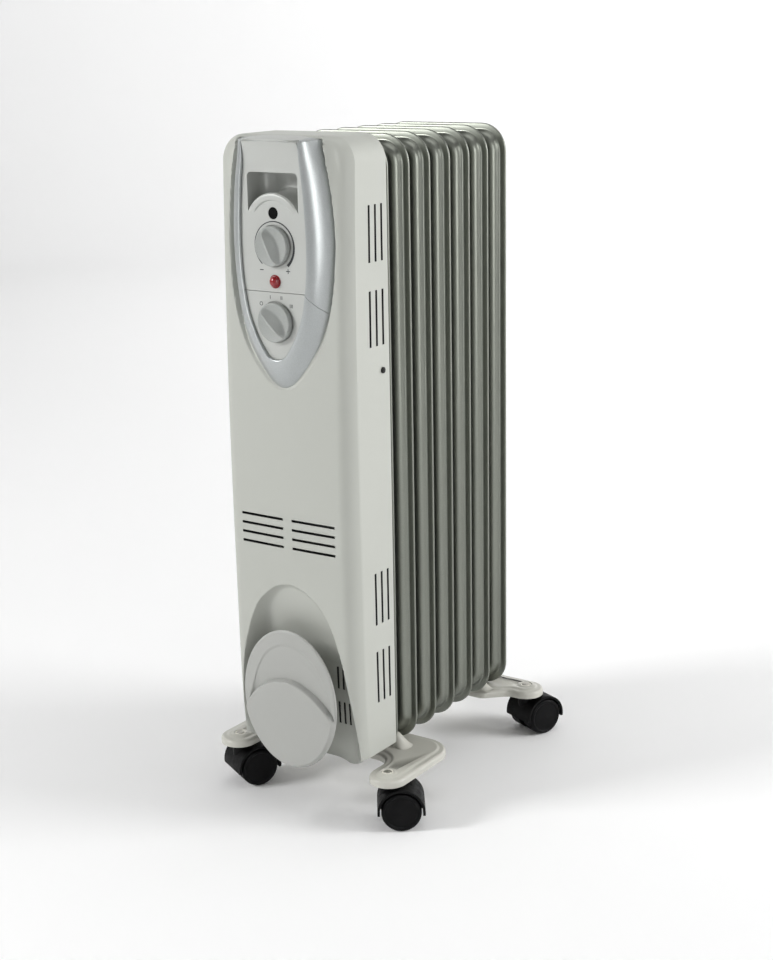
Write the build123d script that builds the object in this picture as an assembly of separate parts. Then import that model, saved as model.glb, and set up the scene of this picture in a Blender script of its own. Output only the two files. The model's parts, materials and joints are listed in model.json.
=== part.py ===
from build123d import *
import os

# Oil filled radiator heater on four casters. Millimetres, +Z up.
# Everything is drawn with Y = 0 on the middle plane of the first fin and the control panel facing -Y.
# When the pieces are written they move by -BOX_MIDDLE_Y, which puts the origin on the floor under the
# middle of the whole heater.
BOX_MIDDLE_Y = 86.44

# ---- fin stack ----
FIN_COUNT = 7
FIN_PITCH = 34.0
FIN_WIDTH = 144.6
FIN_BOTTOM = 52.0
FIN_TOP = 632.0
FIN_CORNER = 27.0
HEM = 2.4                    # two welded sheets at the rim of a fin
SHEET = 1.0                  # steel wall of the oil channels
CHANNEL_RADIUS = 9.0         # round oil channel that runs near the rim
CHANNEL_INSET = 15.0         # rim to channel centre line
CHANNEL_BEND = 16.0
BOSS_FOOT_RADIUS = 31.0      # pressed cone that meets the header collar
BOSS_FACE_RADIUS = 20.0
BOSS_FACE = 11.0             # fin middle plane to the face of the cone
HEADER_BORE = 18.5
LOW_HEADER_Z = FIN_BOTTOM + 36.0
HIGH_HEADER_Z = FIN_TOP - 36.0

# ---- control housing ----
HOUSING_HALF = 72.0
HOUSING_BACK = -2.5
HOUSING_BOTTOM = 63.0
HOUSING_TOP = 635.0
HOUSING_CORNER = 24.0
WALL = 2.5
# height, front plane, where the side meets the front, corner reach along X
HOUSING_SECTIONS = (
    (HOUSING_BOTTOM, -61.5, -47.5, 14.0),
    (150.0, -65.0, -51.5, 14.0),
    (340.0, -66.5, -53.5, 14.0),
    (480.0, -64.0, -52.5, 13.0),
    (HOUSING_TOP, -57.0, -49.5, 9.0),
)

# ---- vents and screws of the housing ----
SIDE_VENT_Z = (550.0, 475.0, 215.5, 139.5)
SIDE_VENT_Y = (-27.5, -18.9, -10.3)
SIDE_VENT_WIDTH = 2.2
SIDE_VENT_LENGTH = 50.0
FRONT_VENT_X = (-29.0, 29.0)
FRONT_VENT_TOP_Z = 290.0
FRONT_VENT_PITCH = 8.8
FRONT_VENT_ROWS = 4
FRONT_VENT_LENGTH = 48.0
FRONT_VENT_HEIGHT = 2.4
RECESS_VENT_X = (-46.0, -40.0, -34.0, 34.0, 40.0, 46.0)
RECESS_VENT_Z = (100.0, 135.0)
RECESS_VENT_LENGTH = 22.0
SCREW_Y = -13.5
SCREW_Z = 427.0
SCREW_RADIUS = 1.8
SCREW_HOLE_RADIUS = 2.1
SCREW_HEAD_RADIUS = 2.8
SCREW_HEAD_HEIGHT = 1.2

# ---- parts between the housing and the first fin ----
PLATE_BACK_Y = -11.0
PLATE_FRONT_Y = -12.0
PLATE_SIZE = (136.0, 552.0)
PLATE_MIDDLE_Z = 350.0
PLATE_TAB_X = (67.0, 69.3)
CUTOUT_Z = 300.0
CUTOUT_RADIUS = 9.0
FLANGE_HEX_RADIUS = 25.0
FILLER_HEX_RADIUS = 11.0
ELEMENT_LEG_X = 8.0
ELEMENT_RADIUS = 4.0
ELEMENT_FRONT_Y = -24.0
ELEMENT_FAR_Y = 196.0
TERMINAL_X = (-38.0, -14.0)
TERMINAL_Y = (-26.0, -12.0)
TERMINAL_Z = (192.0, 208.0)
WIRE_RADIUS = 1.25
WIRE_BEND = 9.0
WIRE_RUNS = (
    ((-30, -19, 208.1), (-30, -19, 300), (-22, -30, 440), (-6, -30, 470), (-6, -47.9, 470)),
    ((-22, -19, 208.1), (-22, -19, 310), (18, -24, 430), (20, -30, 520), (10, -30, 536), (10, -49.9, 536)),
    ((-30, -19, 191.9), (-30, -19, 165), (-22, -36.5, 120), (-8, -36.5, 88), (-8, -24.1, 88)),
    ((-22, -19, 191.9), (-22, -19, 170), (12, -36.5, 122), (8, -36.5, 88), (8, -24.1, 88)),
)

# ---- control pod on the housing ----
POD_BASE_Y = -54.0
POD_FACE_Y = -75.0
POD_TOP = 631.5
PANEL_Y = -72.4
PANEL_THICKNESS = 2.4
SPLIT_Z = 499.8
SPLIT_GAP = 0.4
SPLIT_PATH = ((-70.0, 456.5), (-36.0, SPLIT_Z), (36.0, SPLIT_Z), (70.0, 456.5))
# (half width, height) down one side, and the tip under them
POD_OUTER = ((45.0, POD_TOP), (53.5, 588.0), (56.5, 547.0), (52.5, 492.0), (40.0, 452.0), (22.0, 425.0))
POD_OUTER_TIP = 413.5
POD_INNER = ((30.0, POD_TOP - 3.5), (34.5, 588.0), (36.4, 541.0), (33.5, 500.0), (24.0, 466.0), (12.5, 446.0))
POD_INNER_TIP = 439.5
GRIP_HALF = 27.5
GRIP_TOP = 604.0
GRIP_FOOT = 569.5
GRIP_ARCH_TOP = 586.5
GRIP_BACK_Y = -44.0
BLANK_Z = 569.0
BLANK_RADIUS = 5.3
PILOT_Z = 509.3
PILOT_RADIUS = 6.0
THERMOSTAT_Z = 540.6
SELECTOR_Z = 473.5
KNOB_RADIUS = 17.6
KNOB_FACE_Y = -78.0
KNOB_TOP_Y = -84.5
THERMOSTAT_POINTER = -26.0   # degrees from upright, clockwise seen from the front
SELECTOR_POINTER = -46.0
SHAFT_RADIUS = 3.0
RUNNING_GAP = 0.05

# ---- cord-wrap recess and cover ----
ARCH = ((66.0, HOUSING_BOTTOM), (62.5, 115.0), (55.0, 158.0), (39.0, 202.0))
ARCH_TOP = 227.0
RECESS_Y = -42.0
RECESS_BEND_Z = 150.0
RECESS_APEX_Y = -67.5
# half width and height down the hanging edge of the recess floor
SKIRT = ((62.0, 66.0), (55.0, 53.5), (47.0, 50.5), (38.0, 53.0), (29.0, 54.5))
COVER_Z = 116.5
COVER_HALF_WIDTH = 53.5
COVER_HALF_HEIGHT = 68.0
COVER_BACK_Y = -71.0
COVER_FACE_Y = -76.0
COVER_LOBE_Y = -78.5
HUB_RADIUS = 21.0

# ---- cord gland in the bottom of the housing ----
GLAND_X = -35.0
GLAND_Y = -24.0
GLAND_RADIUS = 7.0
GLAND_BORE = 3.8

# ---- feet ----
PLATE_SHEET = 1.6
BRACKET_TOP = FIN_BOTTOM
BRACKET_LIP = 8.5
SADDLE_TOP = 66.0
SADDLE_WIDTH = 14.0
FRONT_STEM = (88.0, -41.0)
REAR_STEM = (88.0, 218.0)
BOLT_RADIUS = 2.5
FIRST_GAP_Y = FIN_PITCH / 2
LAST_GAP_Y = FIN_PITCH * (FIN_COUNT - 1.5)
BOLT_X = BOSS_FACE_RADIUS + 0.5 + BOLT_RADIUS
WING_SPAN = 24.0
WHEEL_RADIUS = 19.0
WHEEL_INNER_FACE = 3.8
WHEEL_OUTER_FACE = 19.5
TRAIL = 12.0
HOOD_RADIUS = 22.5
HOOD_BORE = 20.2
HOOD_SKIRT_Z = 16.0
WEB_HALF = 3.2
AXLE_RADIUS = 2.5
STEM_RADIUS = 4.0
STEM_FOOT_Z = 38.0
NECK_TOP_Z = 46.5
# stem place, and the way the caster trails, in degrees from +X
CASTERS = {
    "front_right": (FRONT_STEM[0], FRONT_STEM[1], 35.0),
    "front_left": (-FRONT_STEM[0], FRONT_STEM[1], 62.0),
    "rear_right": (REAR_STEM[0], REAR_STEM[1], 67.0),
    "rear_left": (-REAR_STEM[0], REAR_STEM[1], 145.0),
}

MIN_ALIGN = (Align.CENTER, Align.CENTER, Align.MIN)


# ---- drawing helpers ----
def wall_plane(y):
    """Upright plane at y: local x is +X, local y is +Z and its normal is -Y."""
    return Plane(origin=(0, y, 0), x_dir=(1, 0, 0), z_dir=(0, -1, 0))


def slab(outline, front, back):
    """Extrude an X-Z outline between two Y values."""
    return extrude(wall_plane(back) * outline, amount=back - front)


def rod(x, z, radius, front, back):
    """Round bar along Y."""
    return slab(Pos(x, z) * Circle(radius), front, back)


def ring(x, z, outer, inner, front, back):
    """Round tube along Y."""
    return rod(x, z, outer, front, back) - rod(x, z, inner, front, back)


def block(x, y, z):
    """Box between (low, high) pairs."""
    size = Box(x[1] - x[0], y[1] - y[0], z[1] - z[0])
    return Pos((x[0] + x[1]) / 2, (y[0] + y[1]) / 2, (z[0] + z[1]) / 2) * size


def mirrored_outline(side, tip):
    """Closed X-Z face, flat on top: side points and their mirror image joined by a spline through the tip."""
    left = [(-x, z) for x, z in side]
    right = [(x, z) for x, z in reversed(side)]
    curve = Spline(*left, (0, tip), *right)
    return make_face(curve + Line(right[-1], left[0]))


# ---- fin stack ----
def fin_track(radius):
    """Round tube that follows the rim of a fin at the channel inset."""
    height = FIN_TOP - FIN_BOTTOM
    middle = (FIN_TOP + FIN_BOTTOM) / 2
    track = RectangleRounded(FIN_WIDTH - 2 * CHANNEL_INSET, height - 2 * CHANNEL_INSET, CHANNEL_BEND)
    path = (wall_plane(0) * Pos(0, middle) * track).wire()
    start = path.position_at(0)
    section = Plane(origin=start, z_dir=path.tangent_at(0)) * Circle(radius)
    return sweep(section, path=path)


def boss(z, foot, face, depth):
    """Cone from the middle plane of a fin towards -Y."""
    return wall_plane(0) * Pos(0, z, 0) * Cone(foot, face, depth, align=MIN_ALIGN)


def fin(index):
    """Hollow pressed fin. The last one is closed at the back."""
    height = FIN_TOP - FIN_BOTTOM
    middle = (FIN_TOP + FIN_BOTTOM) / 2
    is_last = index == FIN_COUNT - 1
    body = slab(Pos(0, middle) * RectangleRounded(FIN_WIDTH, height, FIN_CORNER), -HEM / 2, HEM / 2)
    body += fin_track(CHANNEL_RADIUS)
    oil = fin_track(CHANNEL_RADIUS - SHEET)
    for z in (LOW_HEADER_Z, HIGH_HEADER_Z):
        cone = boss(z, BOSS_FOOT_RADIUS, BOSS_FACE_RADIUS, BOSS_FACE)
        cone_oil = boss(z, BOSS_FOOT_RADIUS - 1.6, BOSS_FACE_RADIUS - 1.6, BOSS_FACE - SHEET)
        body += cone
        oil += cone_oil
        bore_end = 0
        if not is_last:
            body += mirror(cone, about=Plane.XZ)
            oil += mirror(cone_oil, about=Plane.XZ)
            bore_end = BOSS_FACE + 1
        oil += rod(0, z, HEADER_BORE - 0.2, -BOSS_FACE - 1, bore_end)
    return Pos(0, index * FIN_PITCH, 0) * (body - oil)


def header_collars():
    """Welded rings between neighbouring fins, top and bottom."""
    rings = []
    for gap in range(FIN_COUNT - 1):
        front = gap * FIN_PITCH + BOSS_FACE
        back = (gap + 1) * FIN_PITCH - BOSS_FACE
        for z in (LOW_HEADER_Z, HIGH_HEADER_Z):
            rings.append(ring(0, z, BOSS_FACE_RADIUS, HEADER_BORE, front, back))
    return Compound(children=rings)


def heating_element():
    """Hairpin tube in the bottom header."""
    leg = ELEMENT_LEG_X
    start = (leg, ELEMENT_FRONT_Y, LOW_HEADER_Z)
    corners = ((leg, ELEMENT_FAR_Y, LOW_HEADER_Z), (-leg, ELEMENT_FAR_Y, LOW_HEADER_Z))
    path = FilletPolyline(start, *corners, (-leg, ELEMENT_FRONT_Y, LOW_HEADER_Z), radius=leg - 0.1)
    section = Plane(origin=start, z_dir=(0, 1, 0)) * Circle(ELEMENT_RADIUS)
    return sweep(section, path=path)


def element_flange():
    """Hexagonal screwed flange that closes the bottom header."""
    head = slab(Pos(0, LOW_HEADER_Z) * RegularPolygon(FLANGE_HEX_RADIUS, 6), -20, -12)
    thread = rod(0, LOW_HEADER_Z, HEADER_BORE - 0.5, -12, -2)
    legs = rod(ELEMENT_LEG_X, LOW_HEADER_Z, ELEMENT_RADIUS, -21, 0)
    legs += rod(-ELEMENT_LEG_X, LOW_HEADER_Z, ELEMENT_RADIUS, -21, 0)
    return head + thread - legs


def filler_plug():
    """Plug of the oil filling hole in the top header."""
    head = slab(Pos(0, HIGH_HEADER_Z) * RegularPolygon(FILLER_HEX_RADIUS, 6), -19, -14)
    return head + rod(0, HIGH_HEADER_Z, 24, -14, -12) + rod(0, HIGH_HEADER_Z, HEADER_BORE - 0.5, -12, -5)


def mounting_plate():
    """Sheet that carries the housing on the first fin."""
    plate = slab(Pos(0, PLATE_MIDDLE_Z) * RectangleRounded(*PLATE_SIZE, 20), PLATE_FRONT_Y, PLATE_BACK_Y)
    for z in (LOW_HEADER_Z, HIGH_HEADER_Z):
        plate -= rod(0, z, BOSS_FACE_RADIUS + 0.3, -13, -10)
    plate -= rod(0, CUTOUT_Z, CUTOUT_RADIUS + 2, -13, -10)
    for side in (-1, 1):
        x = sorted((side * PLATE_TAB_X[0], side * PLATE_TAB_X[1]))
        tab = block(x, (SCREW_Y - 2.5, PLATE_BACK_Y), (SCREW_Z - 12, SCREW_Z + 12))
        hole = Pos(side * 68, SCREW_Y, SCREW_Z) * Rot(0, 90, 0) * Cylinder(SCREW_RADIUS + 0.1, 8)
        plate += tab
        plate -= hole
    return plate


# ---- housing ----
def housing_section(z, front, side_y, reach, inset):
    """Closed X-Y face of the housing at one height."""
    half = HOUSING_HALF - inset
    y_front = front + inset
    y_side = side_y + inset * 0.5
    inner = half - reach
    back = HOUSING_BACK
    edges = [
        Line((-half, back, z), (-half, y_side, z)),
        Bezier((-half, y_side, z), (-half + 1.5, y_front + 0.5, z), (-inner, y_front, z)),
        ThreePointArc((-inner, y_front, z), (0, y_front - 0.8, z), (inner, y_front, z)),
        Bezier((inner, y_front, z), (half - 1.5, y_front + 0.5, z), (half, y_side, z)),
        Line((half, y_side, z), (half, back, z)),
        Line((half, back, z), (-half, back, z)),
    ]
    return make_face(edges)


def housing_solid(inset):
    """Housing with no hollow, shrunk by inset on every side but the back."""
    faces = [housing_section(*row, inset) for row in HOUSING_SECTIONS]
    body = loft(faces)
    low = HOUSING_BOTTOM + inset
    high = HOUSING_TOP - inset
    outline = RectangleRounded(2 * (HOUSING_HALF - inset), high - low + 60, HOUSING_CORNER - inset)
    rounded = slab(Pos(0, (high + low - 60) / 2) * outline, -120, 20)
    return body & rounded & block((-90, 90), (-120, 20), (low, high))


def recess_tool(grow):
    """Arched pocket behind the cord-wrap cover, grown by grow."""
    side = [(x + grow, z) for x, z in ARCH]
    left = [(-x, z) for x, z in side]
    right = [(x, z) for x, z in reversed(side)]
    arch = Spline(*left, (0, ARCH_TOP + grow), *right)
    floor = HOUSING_BOTTOM - 5
    foot = Polyline(right[-1], (right[-1][0], floor), (left[0][0], floor), left[0])
    prism = slab(make_face(arch + foot), -120, 0)
    depth = RECESS_Y + grow
    side_view = Polyline(
        (-130, floor),
        (depth, floor),
        (depth, RECESS_BEND_Z),
        (RECESS_APEX_Y + grow, ARCH_TOP + 2),
        (-130, ARCH_TOP + 30),
        close=True,
    )
    wedge = extrude(Plane.YZ * make_face(side_view), amount=90, both=True)
    return prism & wedge


def side_vents():
    """Three slots in each of four groups, both sides."""
    slots = []
    for z in SIDE_VENT_Z:
        for y in SIDE_VENT_Y:
            slots.append(Pos(0, y, z) * Box(3 * HOUSING_HALF, SIDE_VENT_WIDTH, SIDE_VENT_LENGTH))
    return slots


def front_vents():
    """Two groups of four slots across the front."""
    slots = []
    for middle in FRONT_VENT_X:
        for row in range(FRONT_VENT_ROWS):
            z = FRONT_VENT_TOP_Z - row * FRONT_VENT_PITCH
            slots.append(Pos(middle, -60, z) * Box(FRONT_VENT_LENGTH, 20, FRONT_VENT_HEIGHT))
    return slots


def recess_vents():
    """Upright slots through the floor of the cord-wrap recess."""
    slot = Box(SIDE_VENT_WIDTH, 12, RECESS_VENT_LENGTH)
    return [Pos(x, RECESS_Y, z) * slot for x in RECESS_VENT_X for z in RECESS_VENT_Z]


def pod_solid(inset):
    """Egg-shaped boss that the bezel covers."""
    top = POD_TOP - inset
    outer = [(x - inset, min(z, top)) for x, z in POD_OUTER]
    inner = [(POD_INNER[0][0] + 1.2 - inset * 0.4, top)]
    inner += [(x + 1.2 - inset * 0.4, z) for x, z in POD_INNER[1:]]
    shoulder = [((a[0] * 0.45 + b[0] * 0.55) + 3.0, (a[1] + b[1]) / 2) for a, b in zip(outer, inner)]
    base = mirrored_outline(outer, POD_OUTER_TIP + inset)
    middle = mirrored_outline(shoulder, (POD_OUTER_TIP + POD_INNER_TIP) / 2 - 3 + inset * 0.7)
    face = mirrored_outline(inner, POD_INNER_TIP - 1.2 + inset * 0.4)
    y_base = POD_BASE_Y
    y_face = POD_FACE_Y + inset
    y_middle = y_base + (y_face - y_base) * 0.68
    return loft([wall_plane(y_base) * base, wall_plane(y_middle) * middle, wall_plane(y_face) * face])


def split_band():
    """Thin sheet along the joint between the upper and lower pod mouldings."""
    lower = [(x, z - SPLIT_GAP) for x, z in reversed(SPLIT_PATH)]
    return slab(make_face(Polyline(*SPLIT_PATH, *lower, close=True)), -100, -30)


def upper_half_space():
    """Everything above the joint."""
    return slab(make_face(Polyline(*SPLIT_PATH, (70, 700), (-70, 700), close=True)), -100, -30)


def skirt():
    """Lower edge of the recess floor, which hangs in front of the first fin."""
    right = Spline(*SKIRT)
    left = Spline(*[(-x, z) for x, z in SKIRT])
    bottom = Line((SKIRT[-1][0], SKIRT[-1][1]), (-SKIRT[-1][0], SKIRT[-1][1]))
    top = Line((-SKIRT[0][0], SKIRT[0][1]), (SKIRT[0][0], SKIRT[0][1]))
    return slab(make_face(right + bottom + left + top), RECESS_Y, RECESS_Y + WALL)


def housing_shell():
    """Moulded front, sides, top and bottom in one piece."""
    shell = (housing_solid(0) - recess_tool(0)) - (housing_solid(WALL) - recess_tool(WALL))
    pod_side = [(x + 0.4, z + 0.4) for x, z in POD_OUTER]
    pod_hole = slab(mirrored_outline(pod_side, POD_OUTER_TIP - 0.4), -120, -40)
    shell -= pod_hole
    shell -= block((-HOUSING_HALF + WALL, HOUSING_HALF - WALL), (-10.5, 5), (HOUSING_BOTTOM - 5, 80))
    shell += skirt()
    for slot in side_vents() + front_vents() + recess_vents():
        shell -= slot
    for side in (-1, 1):
        shell -= Pos(side * 71, SCREW_Y, SCREW_Z) * Rot(0, 90, 0) * Cylinder(SCREW_HOLE_RADIUS, 8)
    shell -= Pos(GLAND_X, GLAND_Y, HOUSING_BOTTOM) * Cylinder(GLAND_RADIUS, 12)
    return shell


def bezel_shell():
    """Silver surround of the control panel, before it is parted."""
    window = slab(mirrored_outline(POD_INNER, POD_INNER_TIP), -100, -30)
    return pod_solid(0) - pod_solid(WALL) - window


def panel_plate():
    """Flat control panel, before it is parted."""
    outline = mirrored_outline([(x - 0.3, z - 0.3) for x, z in POD_INNER], POD_INNER_TIP + 0.3)
    return slab(outline, PANEL_Y, PANEL_Y + PANEL_THICKNESS)


def grip_outline(grow):
    """Window of the hand grip: square top, arched foot."""
    top = GRIP_TOP + grow
    half = GRIP_HALF + grow
    foot = GRIP_FOOT - grow
    crown = GRIP_ARCH_TOP - grow
    arch = ThreePointArc((-half, foot), (0, crown), (half, foot))
    return make_face(arch + Polyline((half, foot), (half, top), (-half, top), (-half, foot)))


def panel_upper():
    """Upper control panel with the grip window and the thermostat."""
    plate = panel_plate() & upper_half_space()
    plate -= slab(grip_outline(0), -90, -50)
    plate -= rod(0, THERMOSTAT_Z, SHAFT_RADIUS + 0.6, -90, -50)
    plate -= rod(0, BLANK_Z, BLANK_RADIUS, -90, -50)
    plate -= rod(0, PILOT_Z, PILOT_RADIUS - 1.0, -90, -50)
    return plate


def panel_lower():
    """Lower control panel with the power selector."""
    plate = panel_plate() - upper_half_space() - split_band()
    plate -= rod(0, SELECTOR_Z, SHAFT_RADIUS + 0.6, -90, -50)
    return plate


def grip_cup():
    """Pocket behind the grip window."""
    behind = PANEL_Y + PANEL_THICKNESS
    cup = slab(grip_outline(1.8), behind, GRIP_BACK_Y)
    return cup - slab(grip_outline(0), behind - 1, GRIP_BACK_Y - 1.8)


def pilot_lens():
    """Domed red lens."""
    behind = PANEL_Y + PANEL_THICKNESS
    dome = Pos(0, PANEL_Y, PILOT_Z) * Sphere(PILOT_RADIUS) & block((-9, 9), (-90, PANEL_Y), (495, 525))
    return dome + rod(0, PILOT_Z, PILOT_RADIUS - 1.0, PANEL_Y, behind)


def knob(z, pointer):
    """Round control knob with a lens-shaped grip ridge."""
    disc = rod(0, 0, KNOB_RADIUS, KNOB_FACE_Y, PANEL_Y - 0.6)
    disc = fillet(disc.edges().filter_by(GeomType.CIRCLE).sort_by(Axis.Y)[0], 1.2)
    reach = KNOB_RADIUS - 1.0
    swell = 4.6
    right_side = ThreePointArc((0, -reach), (swell, 0), (0, reach))
    left_side = ThreePointArc((0, reach), (-swell, 0), (0, -reach))
    lens = make_face(right_side + left_side)
    ridge = slab(lens, KNOB_TOP_Y, KNOB_FACE_Y + 1)
    body = disc + ridge - rod(0, 0, SHAFT_RADIUS, KNOB_FACE_Y + 1.5, -60)
    return Pos(0, 0, z) * Rot(0, pointer, 0) * body


def shaft(z, back):
    """Steel control shaft, pressed into its knob."""
    return rod(0, z, SHAFT_RADIUS, KNOB_FACE_Y + 1.5, back)


def thermostat():
    """Bimetal thermostat behind the panel."""
    behind = PANEL_Y + PANEL_THICKNESS
    body = block((-15, 15), (behind + 1, -50), (THERMOSTAT_Z - 13, THERMOSTAT_Z + 12))
    bush = rod(0, THERMOSTAT_Z, 6, behind, behind + 1)
    return body + bush - rod(0, THERMOSTAT_Z, SHAFT_RADIUS + RUNNING_GAP, -80, -57)


def selector_switch():
    """Rotary power switch behind the panel."""
    behind = PANEL_Y + PANEL_THICKNESS
    body = rod(0, SELECTOR_Z, 13, behind + 1, -48) + rod(0, SELECTOR_Z, 6, behind, behind + 1)
    return body - rod(0, SELECTOR_Z, SHAFT_RADIUS + RUNNING_GAP, -80, -57)


def internal_wires():
    """Round wires from the terminal block to the controls and the element."""
    wires = []
    for run in WIRE_RUNS:
        path = FilletPolyline(*run, radius=WIRE_BEND)
        section = Plane(origin=run[0], z_dir=path.tangent_at(0)) * Circle(WIRE_RADIUS)
        wires.append(sweep(section, path=path))
    return Compound(children=wires)


# ---- cord gland ----
def cord_gland():
    """Flanged bush in the bottom of the housing, open for the cord."""
    barrel = Pos(GLAND_X, GLAND_Y, 56) * Cylinder(GLAND_RADIUS - 0.05, 18, align=MIN_ALIGN)
    collar = Pos(GLAND_X, GLAND_Y, HOUSING_BOTTOM - 2.5) * Cylinder(GLAND_RADIUS + 2.5, 2.5, align=MIN_ALIGN)
    return barrel + collar - Pos(GLAND_X, GLAND_Y, 50) * Cylinder(GLAND_BORE, 30, align=MIN_ALIGN)


# ---- cord-wrap cover ----
def cover_outline():
    """Oval of the cover."""
    return Pos(0, COVER_Z) * Ellipse(COVER_HALF_WIDTH, COVER_HALF_HEIGHT)


def cord_cover():
    """Oval cover with a raised lower lobe and a crescent above it."""
    plate = slab(cover_outline(), COVER_FACE_Y, COVER_BACK_Y)
    front = plate.edges().sort_by(Axis.Y)[0]
    plate = fillet(front, 3.0)
    lobe_disc = Pos(4, 70) * Circle(66)
    inset = 4.0
    oval = Pos(0, COVER_Z) * Ellipse(COVER_HALF_WIDTH - inset, COVER_HALF_HEIGHT - inset)
    return plate + slab(oval & lobe_disc, COVER_LOBE_Y, COVER_FACE_Y + 1)


def cord_hub():
    """Round post that carries the cover and holds the wound cord."""
    post = rod(0, COVER_Z, HUB_RADIUS, COVER_BACK_Y, RECESS_Y)
    return post - rod(0, COVER_Z, HUB_RADIUS - 3, COVER_BACK_Y + 3, RECESS_Y + 1)


# ---- feet ----
def tray(outline):
    """Pressed plate with a lip all round, open below."""
    outer = extrude(Pos(0, 0, BRACKET_TOP - BRACKET_LIP) * outline, amount=BRACKET_LIP)
    top_edges = outer.edges().group_by(Axis.Z)[-1]
    outer = fillet(top_edges, 2.2)
    hollow = extrude(
        Pos(0, 0, BRACKET_TOP - BRACKET_LIP) * offset(outline, -PLATE_SHEET), amount=BRACKET_LIP - PLATE_SHEET
    )
    return outer - hollow


def saddle(y, half, grow, top):
    """Raised rib that stands in the gap between two fins."""
    rise = top - BRACKET_TOP
    view = Polyline(
        (-half - rise, BRACKET_TOP - 2), (-half - rise, BRACKET_TOP), (-half, top), (half, top),
        (half + rise, BRACKET_TOP), (half + rise, BRACKET_TOP - 2), close=True
    )
    return slab(make_face(view), y - SADDLE_WIDTH / 2 - grow, y + SADDLE_WIDTH / 2 + grow)


def bracket(outline, gap_y, stem):
    """Foot bracket with its saddle, caster holes and bolt holes."""
    plate = tray(outline)
    plate += saddle(gap_y, 62.0, 0, SADDLE_TOP)
    plate -= saddle(gap_y, 62.0, -PLATE_SHEET, SADDLE_TOP - PLATE_SHEET)
    for side in (-1, 1):
        plate -= Pos(side * stem[0], stem[1], BRACKET_TOP) * Cylinder(STEM_RADIUS + 1.5, 10)
        plate -= Pos(side * BOLT_X, gap_y, SADDLE_TOP) * Cylinder(BOLT_RADIUS + 0.3, 10)
    return plate


def front_outline():
    """U-shaped plan of the front bracket."""
    bar = Pos(0, -4.5) * Rectangle(214, 109)
    shoulders = bar.vertices().sort_by(Axis.Y)[-2:]
    bar = fillet(shoulders, 28)
    notch = Pos(0, -44) * Rectangle(142, 72)
    inner = notch.vertices().sort_by(Axis.Y)[-2:]
    notch = fillet(inner, 18)
    outline = bar - notch
    return fillet(outline.vertices().sort_by(Axis.Y)[0:4], 17.9)


def rear_outline():
    """Plan of the rear bracket: a bar with round ends and a broad tongue under the last gap."""
    bar = Pos(0, REAR_STEM[1] - 2) * SlotOverall(2 * REAR_STEM[0] + 38, 36)
    tongue = make_face(Polyline((-84, 204), (-58, 177), (58, 177), (84, 204), close=True))
    return bar + tongue


def u_bolt(y):
    """U-bolt over the header collar, with its legs down through the saddle."""
    foot = 50.0
    path = (
        Line((-BOLT_X, y, foot), (-BOLT_X, y, LOW_HEADER_Z))
        + ThreePointArc((-BOLT_X, y, LOW_HEADER_Z), (0, y, LOW_HEADER_Z + BOLT_X), (BOLT_X, y, LOW_HEADER_Z))
        + Line((BOLT_X, y, LOW_HEADER_Z), (BOLT_X, y, foot))
    )
    section = Plane(origin=(-BOLT_X, y, foot), z_dir=(0, 0, 1)) * Circle(BOLT_RADIUS)
    return sweep(section, path=path)


def wing_nut(x, y):
    """Wing nut under the saddle."""
    top = SADDLE_TOP - PLATE_SHEET
    hub = Pos(x, y, top - 6) * Cylinder(4.5, 6, align=MIN_ALIGN)
    wings = Pos(x, y, top - 9) * Box(WING_SPAN, 2, 6, align=MIN_ALIGN)
    return hub + wings - Pos(x, y, top - 12) * Cylinder(BOLT_RADIUS, 14, align=MIN_ALIGN)


def caster_socket(x, y):
    """Plastic bush in the bracket that the stem turns in."""
    under = BRACKET_TOP - PLATE_SHEET
    collar = Pos(x, y, under - 2.4) * Cylinder(8, 2.4, align=MIN_ALIGN)
    sleeve = Pos(x, y, under) * Cylinder(STEM_RADIUS + 1.5, PLATE_SHEET + 0.4, align=MIN_ALIGN)
    return collar + sleeve - Pos(x, y, 40) * Cylinder(STEM_RADIUS + RUNNING_GAP, 20, align=MIN_ALIGN)


def place_caster(piece, x, y, heading):
    """Turn a piece drawn at the stem with its trail along +X to its place."""
    return Pos(x, y, 0) * Rot(0, 0, heading) * piece


def hood():
    """Hood over both wheels, with the web between them and the stem boss."""
    across = Pos(TRAIL, 0, WHEEL_RADIUS) * Rot(90, 0, 0)
    cover = across * Cylinder(HOOD_RADIUS, 2 * WHEEL_OUTER_FACE)
    side_length = WHEEL_OUTER_FACE + 1 - WEB_HALF
    for side in (-1, 1):
        middle = side * (WEB_HALF + side_length / 2)
        cover -= Pos(0, middle, 0) * across * Cylinder(HOOD_BORE, side_length)
    cover -= block((-40, 60), (-30, 30), (-10, HOOD_SKIRT_Z))
    web = across * Cylinder(7, 2 * WEB_HALF)
    neck = Pos(0, 0, 28) * Cylinder(8, NECK_TOP_Z - 28, align=MIN_ALIGN)
    clear = across * Cylinder(HOOD_BORE, 2 * WHEEL_OUTER_FACE + 4)
    body = cover + web + (neck - clear) + (neck & block((-9, 9), (-WEB_HALF, WEB_HALF), (28, NECK_TOP_Z)))
    body -= Pos(0, 0, STEM_FOOT_Z) * Cylinder(STEM_RADIUS, 20, align=MIN_ALIGN)
    return body - across * Cylinder(AXLE_RADIUS, 60)


def stem():
    """Steel swivel pin with a domed end."""
    pin = Pos(0, 0, STEM_FOOT_Z) * Cylinder(STEM_RADIUS, BRACKET_TOP + 1 - STEM_FOOT_Z, align=MIN_ALIGN)
    return fillet(pin.edges().sort_by(Axis.Z)[-1], 1.0)


def axle():
    """Steel axle across both wheels."""
    return Pos(TRAIL, 0, WHEEL_RADIUS) * Rot(90, 0, 0) * Cylinder(AXLE_RADIUS, 2 * WHEEL_OUTER_FACE - 6)


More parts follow.
